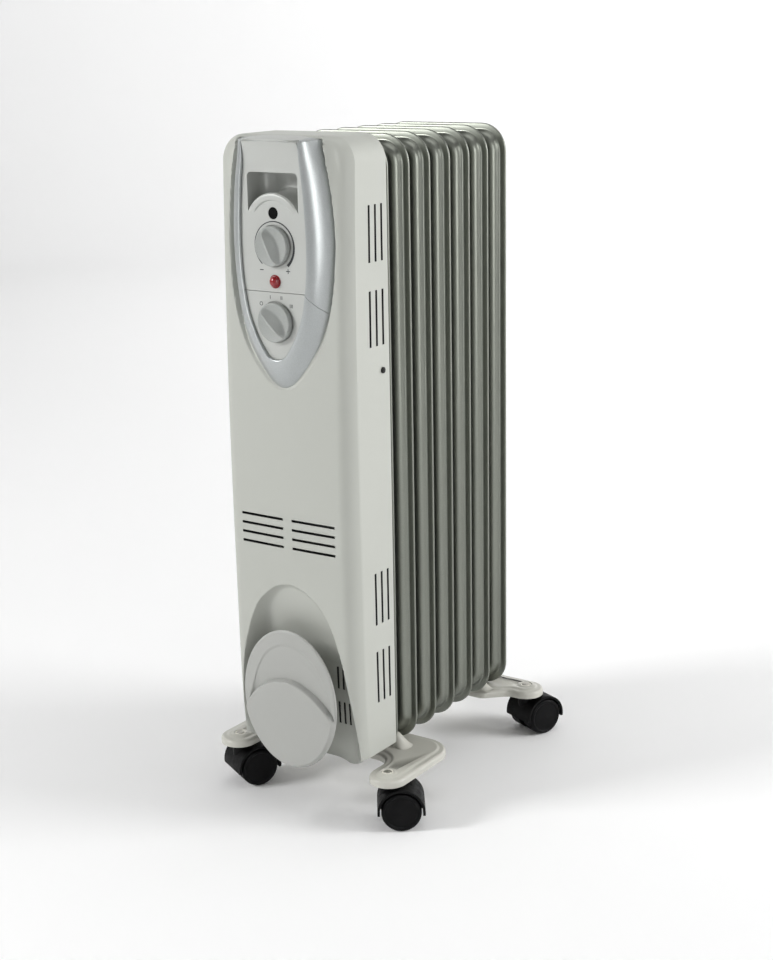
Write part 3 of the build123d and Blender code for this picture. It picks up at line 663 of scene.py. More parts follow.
@dataclass
class FinStack:
    """Seven pressed fins: rolled rim, flange, round oil channel and flat web."""

    datum: Datum
    paints: Paintbox
    count: int = 7
    corner: float = 27.0
    hem_half: float = 1.2
    crest_inset: float = 15.0
    crest_radius: float = 8.2
    crest_lift: float = 0.8
    flank_angle: float = 15.0
    root_radius: float = 2.3
    boss_foot: float = 31.0
    boss_face: float = 20.0
    boss_depth: float = 11.0
    header_inset: float = 36.0
    corner_steps: int = 10

    def section(self) -> list[Point]:
        """Inset and height of the pressed section, from the rim to the web.

        Returns:
            (inset from the rim, height over the middle plane) points.
        """
        hem = self.hem_half
        rim = [(0.0, 0.0)] + [(hem * 0.8 * (1 - math.cos(a)), hem * math.sin(a))
                              for a in (0.5, 1.0, math.pi / 2)]
        outer = arc((self.crest_inset, self.crest_lift), self.crest_radius, 180 - self.flank_angle, 90, 6)
        foot_x, foot_h = outer[0]
        root = self.root_radius
        centre = (foot_x - root * math.cos(math.radians(self.flank_angle)),
                  foot_h + root * math.sin(math.radians(self.flank_angle)))
        blend = arc(centre, root, -90, -self.flank_angle, 4)
        lift = hem - blend[0][1]
        outer_side = [(x, h + lift * (1 - i / 4)) for i, (x, h) in enumerate(blend)] + outer[1:]
        inner_side = [(2 * self.crest_inset - x, h) for x, h in reversed(outer_side[:-1])]
        return rim + outer_side + inner_side

    def ring(self, inset: float) -> list[Point]:
        """Rounded rectangle of the fin's outline moved inwards."""
        half = self.datum.fin_half - inset
        low = self.datum.fin_low + inset
        high = self.datum.fin_high - inset
        radius = max(self.corner - inset, 5.0)
        points = []
        for cx, cz, start in ((half - radius, low + radius, -90), (half - radius, high - radius, 0),
                              (-half + radius, high - radius, 90), (-half + radius, low + radius, 180)):
            points += arc((cx, cz), radius, start, start + 90, self.corner_steps)
        return points

    def fin(self, index: int) -> Object:
        """One fin, both pressings welded at the rim."""
        middle = self.datum.fin_y + index * self.datum.pitch
        section = self.section()
        rings = [[(x, middle - h, z) for x, z in self.ring(d)] for d, h in reversed(section)]
        rings += [[(x, middle + h, z) for x, z in self.ring(d)] for d, h in section[1:]]
        grid = np.array(rings)
        rows, columns = grid.shape[:2]
        faces = grid_faces(rows, columns, wrap_columns=True)
        faces.append(list(range(columns)))
        faces.append(list(range((rows - 1) * columns, rows * columns)))
        body = new_piece(f"fin_pressing_{index + 1}", grid.reshape(-1, 3), faces, 40)
        return join([body] + self.bosses(index, middle), f"fin_pressing_{index + 1}")

    def bosses(self, index: int, middle: float) -> list[Object]:
        """Pressed cones that meet the header collars."""
        sides = (-1,) if index == self.count - 1 else (-1, 1)
        foot, rim, deep = self.boss_foot, self.boss_face, self.boss_depth
        found = []
        for z in (self.datum.fin_low + self.header_inset, self.datum.fin_high - self.header_inset):
            for side in sides:
                profile = [(foot + 2, 0.9), (foot, 1.6), (rim + 2.5, deep - 1.6), (rim + 0.6, deep - 0.3),
                           (rim - 0.8, deep)]
                found.append(lathe("boss", profile, (0, middle, z), Vector((0, side, 0)), 48, 60))
        return found

    def build(self) -> None:
        """Make all fins and stand them for the CAD ones."""
        for index in range(self.count):
            piece = self.fin(index)
            self.paints.dress(piece, Surface.FIN.finish)
            stand_in(piece, "heater", f"fin_{index + 1}")


# ---------------------------------------------------------------- curves in the plane of the panel

def resample(points: np.ndarray, count: int) -> np.ndarray:
    """Points spaced evenly along a polyline."""
    steps = np.linalg.norm(np.diff(points, axis=0), axis=1)
    along = np.concatenate([[0.0], np.cumsum(steps)])
    wanted = np.linspace(0.0, along[-1], count)
    return np.column_stack([np.interp(wanted, along, points[:, k]) for k in range(points.shape[1])])


def inside_distance(x: np.ndarray, z: np.ndarray, outline: np.ndarray) -> np.ndarray:
    """How far points are inside a closed outline, negative outside.

    Args:
        x: X of the points.
        z: Z of the points, the same shape.
        outline: Corners of the closed outline, one row each.

    Returns:
        Signed distances, shaped like x.
    """
    flat = np.column_stack([x.ravel(), z.ravel()])
    starts = outline
    ends = np.roll(outline, -1, axis=0)
    best = np.full(len(flat), 1e9)
    inside = np.zeros(len(flat), bool)
    for start, end in zip(starts, ends):
        side = end - start
        share = np.clip(((flat - start) @ side) / max(side @ side, 1e-9), 0.0, 1.0)
        best = np.minimum(best, np.linalg.norm(flat - start - share[:, None] * side, axis=1))
        if start[1] != end[1]:
            crossing = (flat[:, 1] < start[1]) != (flat[:, 1] < end[1])
            at = start[0] + (flat[:, 1] - start[1]) * side[0] / side[1]
            inside ^= crossing & (flat[:, 0] < at)
    return np.where(inside, best, -best).reshape(x.shape)


def mirrored(side: np.ndarray) -> np.ndarray:
    """Closed outline from one side, given from the top to the tip on the middle line."""
    other = side[::-1][1:].copy()
    other[:, 0] *= -1
    return np.vstack([side, other])


@dataclass(frozen=True)
class PodShape:
    """Outlines of the control pod, half widths by height, and its depths."""

    outer: tuple[Point, ...] = ((45.0, 631.8), (48.6, 614.0), (51.5, 600.0), (54.5, 577.0), (56.5, 547.0),
                                (55.4, 515.0), (52.5, 492.0), (48.0, 472.0), (40.5, 452.0), (29.0, 434.0),
                                (15.0, 419.0), (5.0, 413.2), (0.0, 412.4))
    inner: tuple[Point, ...] = ((30.4, 630.2), (31.4, 613.0), (33.5, 596.0), (35.5, 570.0), (36.4, 541.0),
                                (35.5, 517.0), (33.5, 500.0), (29.5, 480.0), (21.0, 460.0), (10.5, 444.0),
                                (4.0, 440.2), (0.0, 439.5))
    outer_split: float = 481.0
    inner_split: float = 499.8
    crest_y: float = -75.4
    panel_y: float = -72.4
    top: float = 632.5

    def side(self, knots: Sequence[Point], split: float, upper: bool, count: int) -> np.ndarray:
        """Right-hand side of one outline, above or below the joint.

        Args:
            knots: The outline's knots, from the top down.
            split: Height of the joint.
            upper: Keep what is above the joint.
            count: Points to return.

        Returns:
            Evenly spaced points, from the top down.
        """
        curve = smooth_curve(knots, 12)
        crossing = float(np.interp(-split, -curve[:, 1], curve[:, 0]))
        keep = curve[curve[:, 1] > split] if upper else curve[curve[:, 1] < split]
        joint = np.array([[crossing, split]])
        return resample(np.vstack([keep, joint] if upper else [joint, keep]), count)

    def outer_outline(self) -> np.ndarray:
        """Closed outline of the whole pod."""
        return mirrored(smooth_curve(self.outer, 6))

    def inner_half(self, z: float) -> float:
        """Half width of the panel at a height."""
        curve = smooth_curve(self.inner, 12)
        return float(np.interp(-z, -curve[:, 1], curve[:, 0]))


# ---------------------------------------------------------------- housing

@dataclass
class Housing:
    """Moulded housing: swelling front, rounded corners, vents and the cord-wrap recess."""

    datum: Datum
    paints: Paintbox
    pod: PodShape
    half: float = 72.0
    back: float = -2.5
    bottom: float = 63.0
    top: float = 635.0
    corner: float = 24.0
    wall: float = 2.5
    lip_radius: float = 5.0
    crown: float = 0.8
    crease_in: float = 4.6
    # depth where the flat of the side ends, and how far the flat of the front stops short of the side
    side_end: float = -46.0
    front_end: float = 14.0
    # height, front plane
    front_line: tuple[Point, ...] = ((63.0, -61.5), (150.0, -65.0), (340.0, -66.5), (480.0, -64.0),
                                     (635.0, -57.5))
    # height, depth where the side meets the corner
    side_line: tuple[Point, ...] = ((63.0, -46.5), (124.0, -50.8), (221.0, -52.2), (362.0, -53.6),
                                    (495.0, -52.2), (581.0, -50.3), (635.0, -48.0))
    # height, reach of the corner along x
    reach_line: tuple[Point, ...] = ((63.0, 14.0), (400.0, 14.0), (560.0, 13.0), (635.0, 11.0))
    # half width of the recess by height
    arch: tuple[Point, ...] = ((0.0, 228.0), (13.0, 225.2), (25.0, 218.0), (37.5, 205.5), (45.5, 191.0),
                               (52.0, 173.0), (58.0, 151.0), (63.5, 119.0), (67.3, 84.0), (70.0, 48.0))
    recess_top: float = 228.0
    recess_apex: float = 2.5
    recess_full: float = 23.5
    recess_bend_z: float = 150.0
    # height of the bottom edge by distance from the middle
    hang: tuple[Point, ...] = ((0.0, 54.5), (29.0, 54.5), (38.0, 53.0), (46.0, 50.6), (54.0, 52.4),
                               (61.0, 58.0), (67.0, 62.5), (72.0, 64.5))
    hang_fade: float = 24.0
    side_vent_z: tuple[float, ...] = (550.0, 475.0, 215.5, 139.5)
    side_vent_y: tuple[float, ...] = (-27.5, -18.9, -10.3)
    front_vent_z: tuple[float, ...] = (290.0, 281.2, 272.4, 263.6)
    recess_vent_x: tuple[float, ...] = (34.0, 40.0, 46.0)
    recess_vent_z: tuple[float, ...] = (135.0, 100.0)
    # half sizes of the slots, and where the front ones start and end across
    side_vent_half: Point = (1.3, 25.0)
    front_vent_x: Point = (5.0, 53.0)
    front_vent_half: float = 1.2
    recess_vent_half: Point = (1.1, 11.0)

    def rows(self) -> np.ndarray:
        """Heights of the grid rows."""
        edges = [self.bottom, self.top]
        tall, low, short = self.side_vent_half[1], self.front_vent_half, self.recess_vent_half[1]
        for middle in self.side_vent_z:
            edges += [middle - tall, middle - tall + 0.8, middle + tall - 0.8, middle + tall]
        for middle in self.front_vent_z:
            edges += [middle - low, middle + low]
        for middle in self.recess_vent_z:
            edges += [middle - short, middle + short]
        fine = list(np.arange(self.bottom, 232.0, 1.0)) + list(np.arange(232.0, 405.0, 2.5))
        fine += list(np.arange(405.0, 600.0, 1.5)) + list(np.arange(600.0, 628.0, 1.2))
        fine += list(self.top - self.lip_radius * (1 - np.sin(np.linspace(0, math.pi / 2, 9))))
        return self.merged(fine, edges, 0.45)

    def front_shares(self) -> np.ndarray:
        """Column places across the front as shares of its inner half width."""
        inner = self.half - self.front_end
        edges = [-inner, inner]
        for x in self.front_vent_x:
            edges += [-x, x]
        wide = self.recess_vent_half[0]
        for x in self.recess_vent_x:
            edges += [-x - wide, -x + wide, x - wide, x + wide]
        return self.merged(list(np.linspace(-inner, inner, 101)), edges, 0.5) / inner

    @staticmethod
    def merged(fine: Sequence[float], edges: Sequence[float], apart: float) -> np.ndarray:
        """Sorted places with every edge kept and no other place too near one."""
        kept = [f for f in fine if min(abs(f - e) for e in edges) > apart]
        return np.unique(np.round(kept + list(edges), 4))

    def line(self, table: Sequence[Point], z: np.ndarray) -> np.ndarray:
        """Smoothly read a table of (height, value)."""
        curve = smooth_curve(table, 16)
        return np.interp(z, curve[:, 0], curve[:, 1])

    def grid(self) -> tuple[np.ndarray, np.ndarray, list[tuple[str, int, float]]]:
        """Points of the outer skin.

        Returns:
            The grid, its row heights and a (face, side, place) code for each column.
        """
        z = self.rows()
        shares = self.front_shares()
        front = self.line(self.front_line, z)
        side_y = self.line(self.side_line, z)
        reach = self.line(self.reach_line, z)
        rise = np.clip((z - (self.top - self.corner)) / self.corner, 0, 1)
        half = self.half - self.corner * (1 - np.sqrt(1 - rise ** 2 * 0.9999))
        lip = np.clip((z - (self.top - self.lip_radius)) / self.lip_radius, 0, 1)
        drop = self.lip_radius * (1 - np.sqrt(np.clip(1 - lip ** 2, 0, 1)))
        inner = half - reach
        wide = self.side_vent_half[0]
        edges = [self.back, self.side_end] + [y + s for y in self.side_vent_y for s in (-wide, wide)]
        side_depths = self.merged(np.linspace(self.back, self.side_end, 20).tolist(), edges, 0.6)[::-1]
        bend = np.linspace(0, 1, 27)[1:-1]
        columns = []
        codes = []
        for sign in (-1, 1):
            block = []
            block_codes = []
            for depth in side_depths:
                share = (depth - self.back) / (self.side_end - self.back)
                block.append(np.column_stack([sign * half, self.back + share * (side_y - self.back), z]))
                block_codes.append(("side", sign, float(depth)))
            for t in bend:
                x = half * (1 - t) ** 2 + 2 * (half - self.crease_in) * t * (1 - t) + inner * t ** 2
                y = side_y * (1 - t) ** 2 + 2 * (front + 0.5) * t * (1 - t) + front * t ** 2
                block.append(np.column_stack([sign * x, y + drop * t, z]))
                block_codes.append(("corner", sign, float(t)))
            if sign > 0:
                block.reverse()
                block_codes.reverse()
                for share in shares:
                    columns.append(np.column_stack([inner * share,
                                                    front - self.crown * (1 - share ** 2) + drop, z]))
                    codes.append(("front", 0, float(share)))
            columns += block
            codes += block_codes
        grid = np.stack(columns, axis=1)
        self.sink_recess(grid)
        self.shape_pod_surround(grid, codes)
        self.wave_bottom(grid)
        grid[:, :, 1] += self.datum.fin_y
        return grid, z, codes

    def sink_recess(self, grid: np.ndarray) -> None:
        """Press the arched recess into the front."""
        outline = mirrored(smooth_curve(self.arch, 8))
        x, y, z = grid[:, :, 0], grid[:, :, 1], grid[:, :, 2]
        reach = (z < self.recess_top + 2) & (np.abs(x) < self.half - 0.1)
        depth_in = np.where(reach, inside_distance(x, z, outline), -1.0)
        slope = np.clip((self.recess_top - z) / (self.recess_top - self.recess_bend_z), 0, 1)
        deep = self.recess_apex + (self.recess_full - self.recess_apex) * slope ** 1.15
        width = 0.8 * deep + 2.5
        share = np.clip(depth_in / width, 0, 1)
        floor = self.line(self.front_line, z) + deep
        fall = 1 - (1 - share) ** 2.2
        grid[:, :, 1] = np.where(depth_in > 0, y + np.maximum(floor - y, 0) * fall, y)

    def shape_pod_surround(self, grid: np.ndarray, codes: Sequence[tuple]) -> None:
        """Groove round the pod, with a ramp that rises to it beside the top."""
        x, y, z = grid[:, :, 0], grid[:, :, 1], grid[:, :, 2]
        near = (z > 400) & (np.array([c[0] != "side" for c in codes])[None, :])
        away = np.where(near, -inside_distance(x, z, self.pod.outer_outline()), 99.0)
        ramp = 5.0 * np.clip((z - 545) / 65, 0, 1) ** 1.3 * np.clip(1 - away / 11.0, 0, 1) ** 1.4
        ramp *= np.clip((self.top - z) / 6.0, 0, 1) ** 0.5
        side = np.clip((z - 440) / 60, 0, 1)
        groove = (1.6 + 4.0 * side) * np.clip(1 - away / 1.8, 0, 1) ** 1.5
        groove *= np.clip((self.top - z) / 4.0, 0, 1)
        grid[:, :, 1] = y + np.where(near, np.where(away > 0, groove - ramp, 1.6 + 4.0 * side), 0)

    def wave_bottom(self, grid: np.ndarray) -> None:
        """Let the floor of the recess hang lower, deepest beside the cover."""
        x, z = grid[:, :, 0], grid[:, :, 2]
        curve = smooth_curve(self.hang, 10)
        low = np.interp(np.abs(x), curve[:, 0], curve[:, 1])
        share = np.clip((self.bottom + self.hang_fade - z) / self.hang_fade, 0, 1)
        grid[:, :, 2] = z + (low - self.bottom) * share

    def is_open(self, x: float, z: float, face: str, place: float) -> bool:
        """Whether a grid face lies in a vent.

        Args:
            x: Its X.
            z: Its height.
            face: The part of the skin that it is on.
            place: Its depth, on the side.

        Returns:
            True where the skin is left out.
        """
        if face == "side":
            wide, tall = self.side_vent_half
            return (any(abs(z - m) < tall for m in self.side_vent_z)
                    and any(abs(place - v) < wide for v in self.side_vent_y))
        start, end = self.front_vent_x
        if any(abs(z - m) < self.front_vent_half for m in self.front_vent_z) and start < abs(x) < end:
            return True
        wide, tall = self.recess_vent_half
        return (any(abs(z - m) < tall for m in self.recess_vent_z)
                and any(abs(abs(x) - v) < wide for v in self.recess_vent_x))

    def build(self) -> None:
        """Make the housing and stand it for the CAD one."""
        grid, z, codes = self.grid()
        rows, columns = grid.shape[:2]
        outline = self.pod.outer_outline()
        middle_x = (grid[:-1, :-1, 0] + grid[1:, 1:, 0]) / 2
        middle_z = (grid[:-1, :-1, 2] + grid[1:, 1:, 2]) / 2
        on_front = np.array([c[0] != "side" for c in codes])[None, :-1]
        behind = (inside_distance(middle_x, middle_z, outline) > 5.0) & on_front
        faces = []
        for i in range(rows - 1):
            row_z = (z[i] + z[i + 1]) / 2
            for j in range(columns - 1):
                (face, _, place), (next_face, _, next_place) = codes[j], codes[j + 1]
                between = (place + next_place) / 2 if face == next_face else place
                if behind[i, j] or self.is_open(middle_x[i, j], row_z, face, between):
                    continue
                a = i * columns + j
                faces.append([a, a + 1, a + columns + 1, a + columns])
        first_top = (rows - 1) * columns
        faces.append(list(range(first_top, first_top + columns)))
        piece = new_piece("housing_moulding", grid.reshape(-1, 3), faces, 30)
        with edited(piece) as shape:
            bmesh.ops.delete(shape, geom=[v for v in shape.verts if not v.link_faces], context="VERTS")
        self.paints.dress(piece, Surface.SHELL.finish)
        # Second slot: near-black painted shade on the inner faces and the walls of the vent slots.
        piece.data.materials.append(self.paints.material(INNER_PAINTED_SHADE))
        thicken(piece, self.wall, lined=True)
        settle(piece, 22)
        # Faces at the back edge and the bottom go back to the shell colour, apart from those facing sideways;
        # the painted shade stays inside and on the vent walls.
        for face in piece.data.polygons:
            middle = face.center / MM
            at_edge = middle.y > self.datum.fin_y + self.back - 0.1 or middle.z < self.bottom + 0.1
            if face.material_index and at_edge and abs(face.normal.x) < 0.9:
                face.material_index = 0
        stand_in(piece, "heater", "housing_shell")


# ---------------------------------------------------------------- control pod

@dataclass
class ControlPod:
    """Silver surround in two mouldings, control panel, hand grip, pilot light and printed marks."""

    datum: Datum
    paints: Paintbox
    pod: PodShape
    wall: float = 1.8
    groove_side_y: float = -55.6
    groove_tip_y: float = -64.6
    roll: float = 1.9
    gap: float = 0.35
    cove_start: float = 605.0
    cove_reach: float = 5.0
    rail_height: float = 3.0
    grip_half: float = 27.5
    grip_top: float = 604.0
    grip_foot: float = 569.5
    grip_arch: float = 586.5
    grip_back_y: float = -45.0
    band_width: float = 6.4
    blank_z: float = 569.0
    blank_radius: float = 5.3
    pilot_z: float = 509.3
    pilot_radius: float = 6.0
    thermostat_z: float = 540.6
    selector_z: float = 473.5
    well_radius: float = 18.5
    arc_radius: float = 21.4
    outer_crown: float = 3.1
    panel_wall: float = 2.2
    cup_wall: float = 1.5
    cup_gap: float = 0.4

    def groove_y(self, z: np.ndarray) -> np.ndarray:
        """Depth of the surround's outer edge by height."""
        share = np.clip((z - 415.0) / 90.0, 0, 1)
        return self.groove_tip_y + (self.groove_side_y - self.groove_tip_y) * share ** 0.8

    def rails(self, upper: bool, count: int) -> tuple[np.ndarray, np.ndarray]:
        """Edges of one moulding, from its right-hand end round to its left.

        Args:
            upper: The upper moulding instead of the lower.
            count: Points along each side.

        Returns:
            The inner and the outer edge.
        """
        pod = self.pod
        gap = self.gap if upper else 0.0
        found = []
        for knots, split, crown in ((pod.inner, pod.inner_split, 0.0),
                                    (pod.outer, pod.outer_split, self.outer_crown)):
            side = pod.side(knots, split + gap, upper, count)
            if upper:
                half, high = side[0]
                xs = np.linspace(half, -half, 42)[1:-1]
                across = np.column_stack([xs, high + crown * (1 - (xs / half) ** 4)])
                found.append(np.vstack([side[::-1], across, side * (-1, 1)]))
            else:
                found.append(np.vstack([side, side[::-1][1:] * (-1, 1)]))
        return found[0], found[1]

    def surround(self, upper: bool, count: int) -> Object:
        """One moulding of the silver surround, with the panel's grey on its nose.

        Args:
            upper: The upper moulding instead of the lower.
            count: Points along each side.

        Returns:
            The dressed moulding.
        """
        near, far = self.rails(upper, count)
        edge = self.groove_y(far[:, 1])
        edge = edge + 3.0 * np.clip((far[:, 1] - self.pod.top) / 2.2, 0, 1)
        nose = self.nose(near[:, 0]) * (near[:, 1] > self.pod.inner[0][1] - 0.1)
        crest = self.pod.crest_y - (self.cove_reach - self.rail_height) * nose
        shares = np.concatenate([[0.0, 0.0, 0.012, 0.03], np.linspace(0.06, 0.94, 24),
                                 [0.97, 0.985, 1.0, 1.0]])
        rows = []
        for k, share in enumerate(shares):
            place = near + (far - near) * share
            y = crest + (edge - crest) * share ** self.roll
            y = y + 0.9 * (1 - nose) * max(0.0, 1 - share / 0.035) ** 2
            if k == 0:
                y = np.full(len(place), self.pod.panel_y + 1.2)
            if k == len(shares) - 1:
                y = edge + 2.0
            rows.append(np.column_stack([place[:, 0], y + self.datum.fin_y, place[:, 1]]))
        piece = sheet_piece("surround_upper" if upper else "surround_lower", np.array(rows), crease=40)
        face_towards(piece, FORWARDS)
        thicken(piece, self.wall)
        settle(piece, 40)
        piece.data.materials.append(self.paints.material(Surface.BEZEL.finish))
        piece.data.materials.append(self.paints.material(Surface.PANEL.finish))
        half, high = self.pod.inner[0]
        for face in piece.data.polygons:
            middle = face.center / MM
            face.material_index = int(middle.z > high - 0.4 and abs(middle.x) < half + 1.2)
        return piece

    def nose(self, x: np.ndarray) -> np.ndarray:
        """Share of the panel's forward curl at its top, fading out at the rails."""
        return np.clip(1 - (np.abs(x) / self.pod.inner[0][0]) ** 8, 0, 1)

    def panel(self, upper: bool) -> Object:
        """One half of the control panel, as a plate with its cove.

        Args:
            upper: The upper half instead of the lower.

        Returns:
            The plate, with no holes in it yet.
        """
        pod = self.pod
        high = pod.inner[0][1] - 0.15
        if upper:
            heights = np.unique(np.concatenate([np.linspace(pod.inner_split + 0.25, self.cove_start, 60),
                                                np.linspace(self.cove_start, high, 22)]))
        else:
            heights = np.concatenate([[439.9, 440.3, 441.0], np.linspace(442.0, pod.inner_split - 0.25, 50)])
        columns = np.linspace(-1, 1, 41)
        grid = np.zeros((len(heights), len(columns), 3))
        for i, z in enumerate(heights):
            half = max(pod.inner_half(z) - 0.45, 0.3)
            curl = max(0.0, (z - self.cove_start) / (high - self.cove_start)) ** 2.1
            reach = (self.cove_reach - self.rail_height) * self.nose(columns * half)
            cove = curl * (self.rail_height + reach)
            grid[i, :, 0] = columns * half
            grid[i, :, 1] = pod.panel_y - cove + self.datum.fin_y
            grid[i, :, 2] = z
        plate = sheet_piece("panel", grid)
        face_towards(plate, FORWARDS)
        thicken(plate, self.panel_wall)
        for face in plate.data.polygons:
            face.use_smooth = True
        return plate

    def grip_outline(self, grow: float, corner: float = 4.0) -> list[Point]:
        """Window of the hand grip: rounded top corners and an arched foot.

        Args:
            grow: How far the outline is moved outwards.
            corner: Radius of the top corners.

        Returns:
            X and Z of its points.
        """
        half = self.grip_half + grow
        top = self.grip_top + grow
        centre, radius, spread = self.foot_arc(half, self.grip_foot - grow * 0.6, self.grip_arch - grow * 0.6)
        return (arc((0, centre), radius, 90 + spread, 90 - spread, 24)
                + arc((half - corner, top - corner), corner, 0, 90, 6)
                + arc((-half + corner, top - corner), corner, 90, 180, 6))

    @staticmethod
    def foot_arc(half: float, foot: float, crown: float) -> tuple[float, float, float]:
        """Circle through the arched foot of the window.

        Args:
            half: Half its width.
            foot: Height of its ends.
            crown: Height of its middle.

        Returns:
            Height of the centre, radius, and half the angle in degrees.
        """
        rise = crown - foot
        radius = (half ** 2 + rise ** 2) / (2 * rise)
        return crown - radius, radius, math.degrees(math.asin(half / radius))

    def cup(self) -> Object:
        """Pocket behind the grip window, rounded towards its back."""
        rows = []
        start = self.pod.panel_y + 1.9
        depth = self.grip_back_y - start
        ring = self.grip_outline(self.cup_gap)
        centre_z = (self.grip_top + self.grip_arch) / 2
        rounding = 0.55 + 0.45 * np.sin(np.linspace(0.1, math.pi / 2, 10))
        for share in np.concatenate([np.linspace(0, 0.55, 6), rounding]):
            shrink = max(0.0, (share - 0.55) / 0.45)
            inset = 11.0 * (1 - math.sqrt(max(0.0, 1 - shrink ** 2)))
            y = start + share * depth + self.datum.fin_y
            rows.append([(x * (1 - inset / self.grip_half), y,
                          centre_z + (z - centre_z) * (1 - inset / 26.0)) for x, z in ring])
        piece = capped_piece("grip_pocket", np.array(rows), 50)
        middle = Vector((0, (self.pod.panel_y - 20 + self.datum.fin_y) * MM, 0.59))
        with edited(piece) as shape:
            shape.faces.ensure_lookup_table()
            if (shape.faces[0].calc_center_median() - middle).dot(shape.faces[0].normal) < 0:
                bmesh.ops.reverse_faces(shape, faces=shape.faces)
        thicken(piece, self.cup_wall)
        settle(piece, 50)
        return piece

    def arch_band(self) -> Object:
        """Raised band that follows the arched foot of the window."""
        centre, radius, spread = self.foot_arc(self.grip_half, self.grip_foot, self.grip_arch)
        angles = np.radians(np.linspace(90 + spread, 90 - spread, 49))
        profile = []
        for t in np.linspace(0, 1, 13):
            lift = 1.5 * math.sqrt(max(0.0, 1 - (2 * t - 1) ** 4))
            profile.append((radius - 0.3 - self.band_width * t, lift))
        grid = np.zeros((len(profile), len(angles), 3))
        for i, (r, lift) in enumerate(profile):
            for j, a in enumerate(angles):
                fade = ease(min(j, len(angles) - 1 - j) / 7.0)
                grid[i, j] = (r * math.cos(a), self.pod.panel_y + 0.1 - lift * fade + self.datum.fin_y,
                              centre + r * math.sin(a))
        return sheet_piece("arch_band", grid, crease=60)

    def well(self, z: float, radius: float, deep: float) -> Object:
        """Cutter for a round well in the panel."""
        front = self.pod.panel_y - 3 + self.datum.fin_y
        back = self.pod.panel_y + deep + self.datum.fin_y
        return prism(arc((0, z), radius, 0, 360 - 360 / 72, 71), front, back)

    def build(self) -> None:
        """Make the pod's pieces and stand them for the CAD ones."""
        panel_y = self.pod.panel_y + self.datum.fin_y
        for upper, node in ((True, "bezel_upper"), (False, "bezel_lower")):
            piece = self.surround(upper, 90 if upper else 60)
            self.finish(piece, Surface.BEZEL, node)
        top = self.panel(True)
        cut(top, [prism(self.grip_outline(0.0), panel_y - 6, panel_y + 6),
                  self.well(self.thermostat_z, self.well_radius, 1.2),
                  self.well(self.blank_z, self.blank_radius, 1.4)])
        settle(top, 30)
        top = join([top, self.arch_band()], "panel_top")
        self.finish(top, Surface.PANEL, "panel_upper")
        low = self.panel(False)
        cut(low, [self.well(self.selector_z, self.well_radius, 1.2)])
        settle(low, 30)
        self.finish(low, Surface.PANEL, "panel_lower")
        self.finish(self.cup(), Surface.PANEL, "grip_cup")
        self.lens()
        self.marks()

    def lens(self) -> None:
        """Domed pilot lens with a thin collar."""
        r = self.pilot_radius
        front = self.pod.panel_y + self.datum.fin_y
        dome = [(0.0, 4.6), (1.4, 4.5), (2.7, 4.1), (3.8, 3.4), (4.6, 2.4), (5.05, 1.3), (5.15, 0.3),
                (r, 0.3), (r, -0.4), (0.0, -0.4)]
        lens = lathe("pilot_dome", dome, (0, front, self.pilot_z), FORWARDS, 48, 40)
        self.finish(lens, Surface.PILOT, "pilot_lens")

    def finish(self, piece: Object, surface: Surface, node: str) -> None:
        """Dress a bare piece and let it stand for its CAD node."""
        if not piece.data.materials:
            self.paints.dress(piece, surface.finish)
        stand_in(piece, "heater", node)

    def printed(self, name: str, outlines: Sequence[Sequence[Point]]) -> None:
        """Thin ink film on the panel.

        Args:
            name: The piece's name.
            outlines: X and Z of each inked shape's corners.
        """
        front = self.pod.panel_y + self.datum.fin_y
        films = [prism(outline, front - 0.06, front + 0.02, name) for outline in outlines]
        film = join(films, name)
        self.paints.dress(film, INK)
        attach(film, "heater")

    def stroke(self, points: Sequence[Point], width: float) -> list[Point]:
        """Outline of a pen stroke through points."""
        path = np.array(points, float)
        along = np.gradient(path, axis=0)
        along /= np.linalg.norm(along, axis=1)[:, None]
        side = np.column_stack([-along[:, 1], along[:, 0]]) * width / 2
        return [tuple(p) for p in path - side] + [tuple(p) for p in (path + side)[::-1]]

    def dial_point(self, z: float, radius: float, turn: float) -> Point:
        """Point round a knob, turn in degrees clockwise from upright."""
        return (radius * math.sin(math.radians(turn)), z + radius * math.cos(math.radians(turn)))

    def marks(self) -> None:
        """Temperature arc that grows towards the hot end, and the power settings."""
        turns = np.linspace(-140, 140, 91)
        inner = [self.dial_point(self.thermostat_z, self.arc_radius - 0.6, t) for t in turns]
        growth = [1.7 * max(0.0, (t + 20) / 160) ** 1.3 for t in turns]
        outer = [self.dial_point(self.thermostat_z, self.arc_radius + 0.25 + g, t)
                 for g, t in zip(growth, turns)]
        quads = [[inner[i], inner[i + 1], outer[i + 1], outer[i]] for i in range(len(turns) - 1)]
        self.printed("temperature_arc", quads)
        x0, z0 = self.dial_point(self.thermostat_z, self.arc_radius + 4.6, -146)
        x1, z1 = self.dial_point(self.thermostat_z, self.arc_radius + 4.6, 146)
        strokes = [self.stroke([(x0 - 2.0, z0), (x0 + 2.0, z0)], 0.8),
                   self.stroke([(x1 - 2.2, z1), (x1 + 2.2, z1)], 0.8),
                   self.stroke([(x1, z1 - 2.2), (x1, z1 + 2.2)], 0.8)]
        for count, turn in ((1, -16), (2, 16), (3, 48)):
            x, high = self.dial_point(self.selector_z, 22.6, turn)
            for k in range(count):
                at = x + (k - (count - 1) / 2) * 1.3
                strokes.append(self.stroke([(at, high - 1.6), (at, high + 1.6)], 0.55))
        self.printed("dial_marks", strokes)
        x, high = self.dial_point(self.selector_z, 22.6, -47)
        ring_outer = arc((x, high), 1.8, 0, 360, 24)
        ring_inner = arc((x, high), 1.25, 0, 360, 24)
        self.printed("off_mark", [[ring_inner[i], ring_inner[i + 1], ring_outer[i + 1], ring_outer[i]]
                                  for i in range(24)])


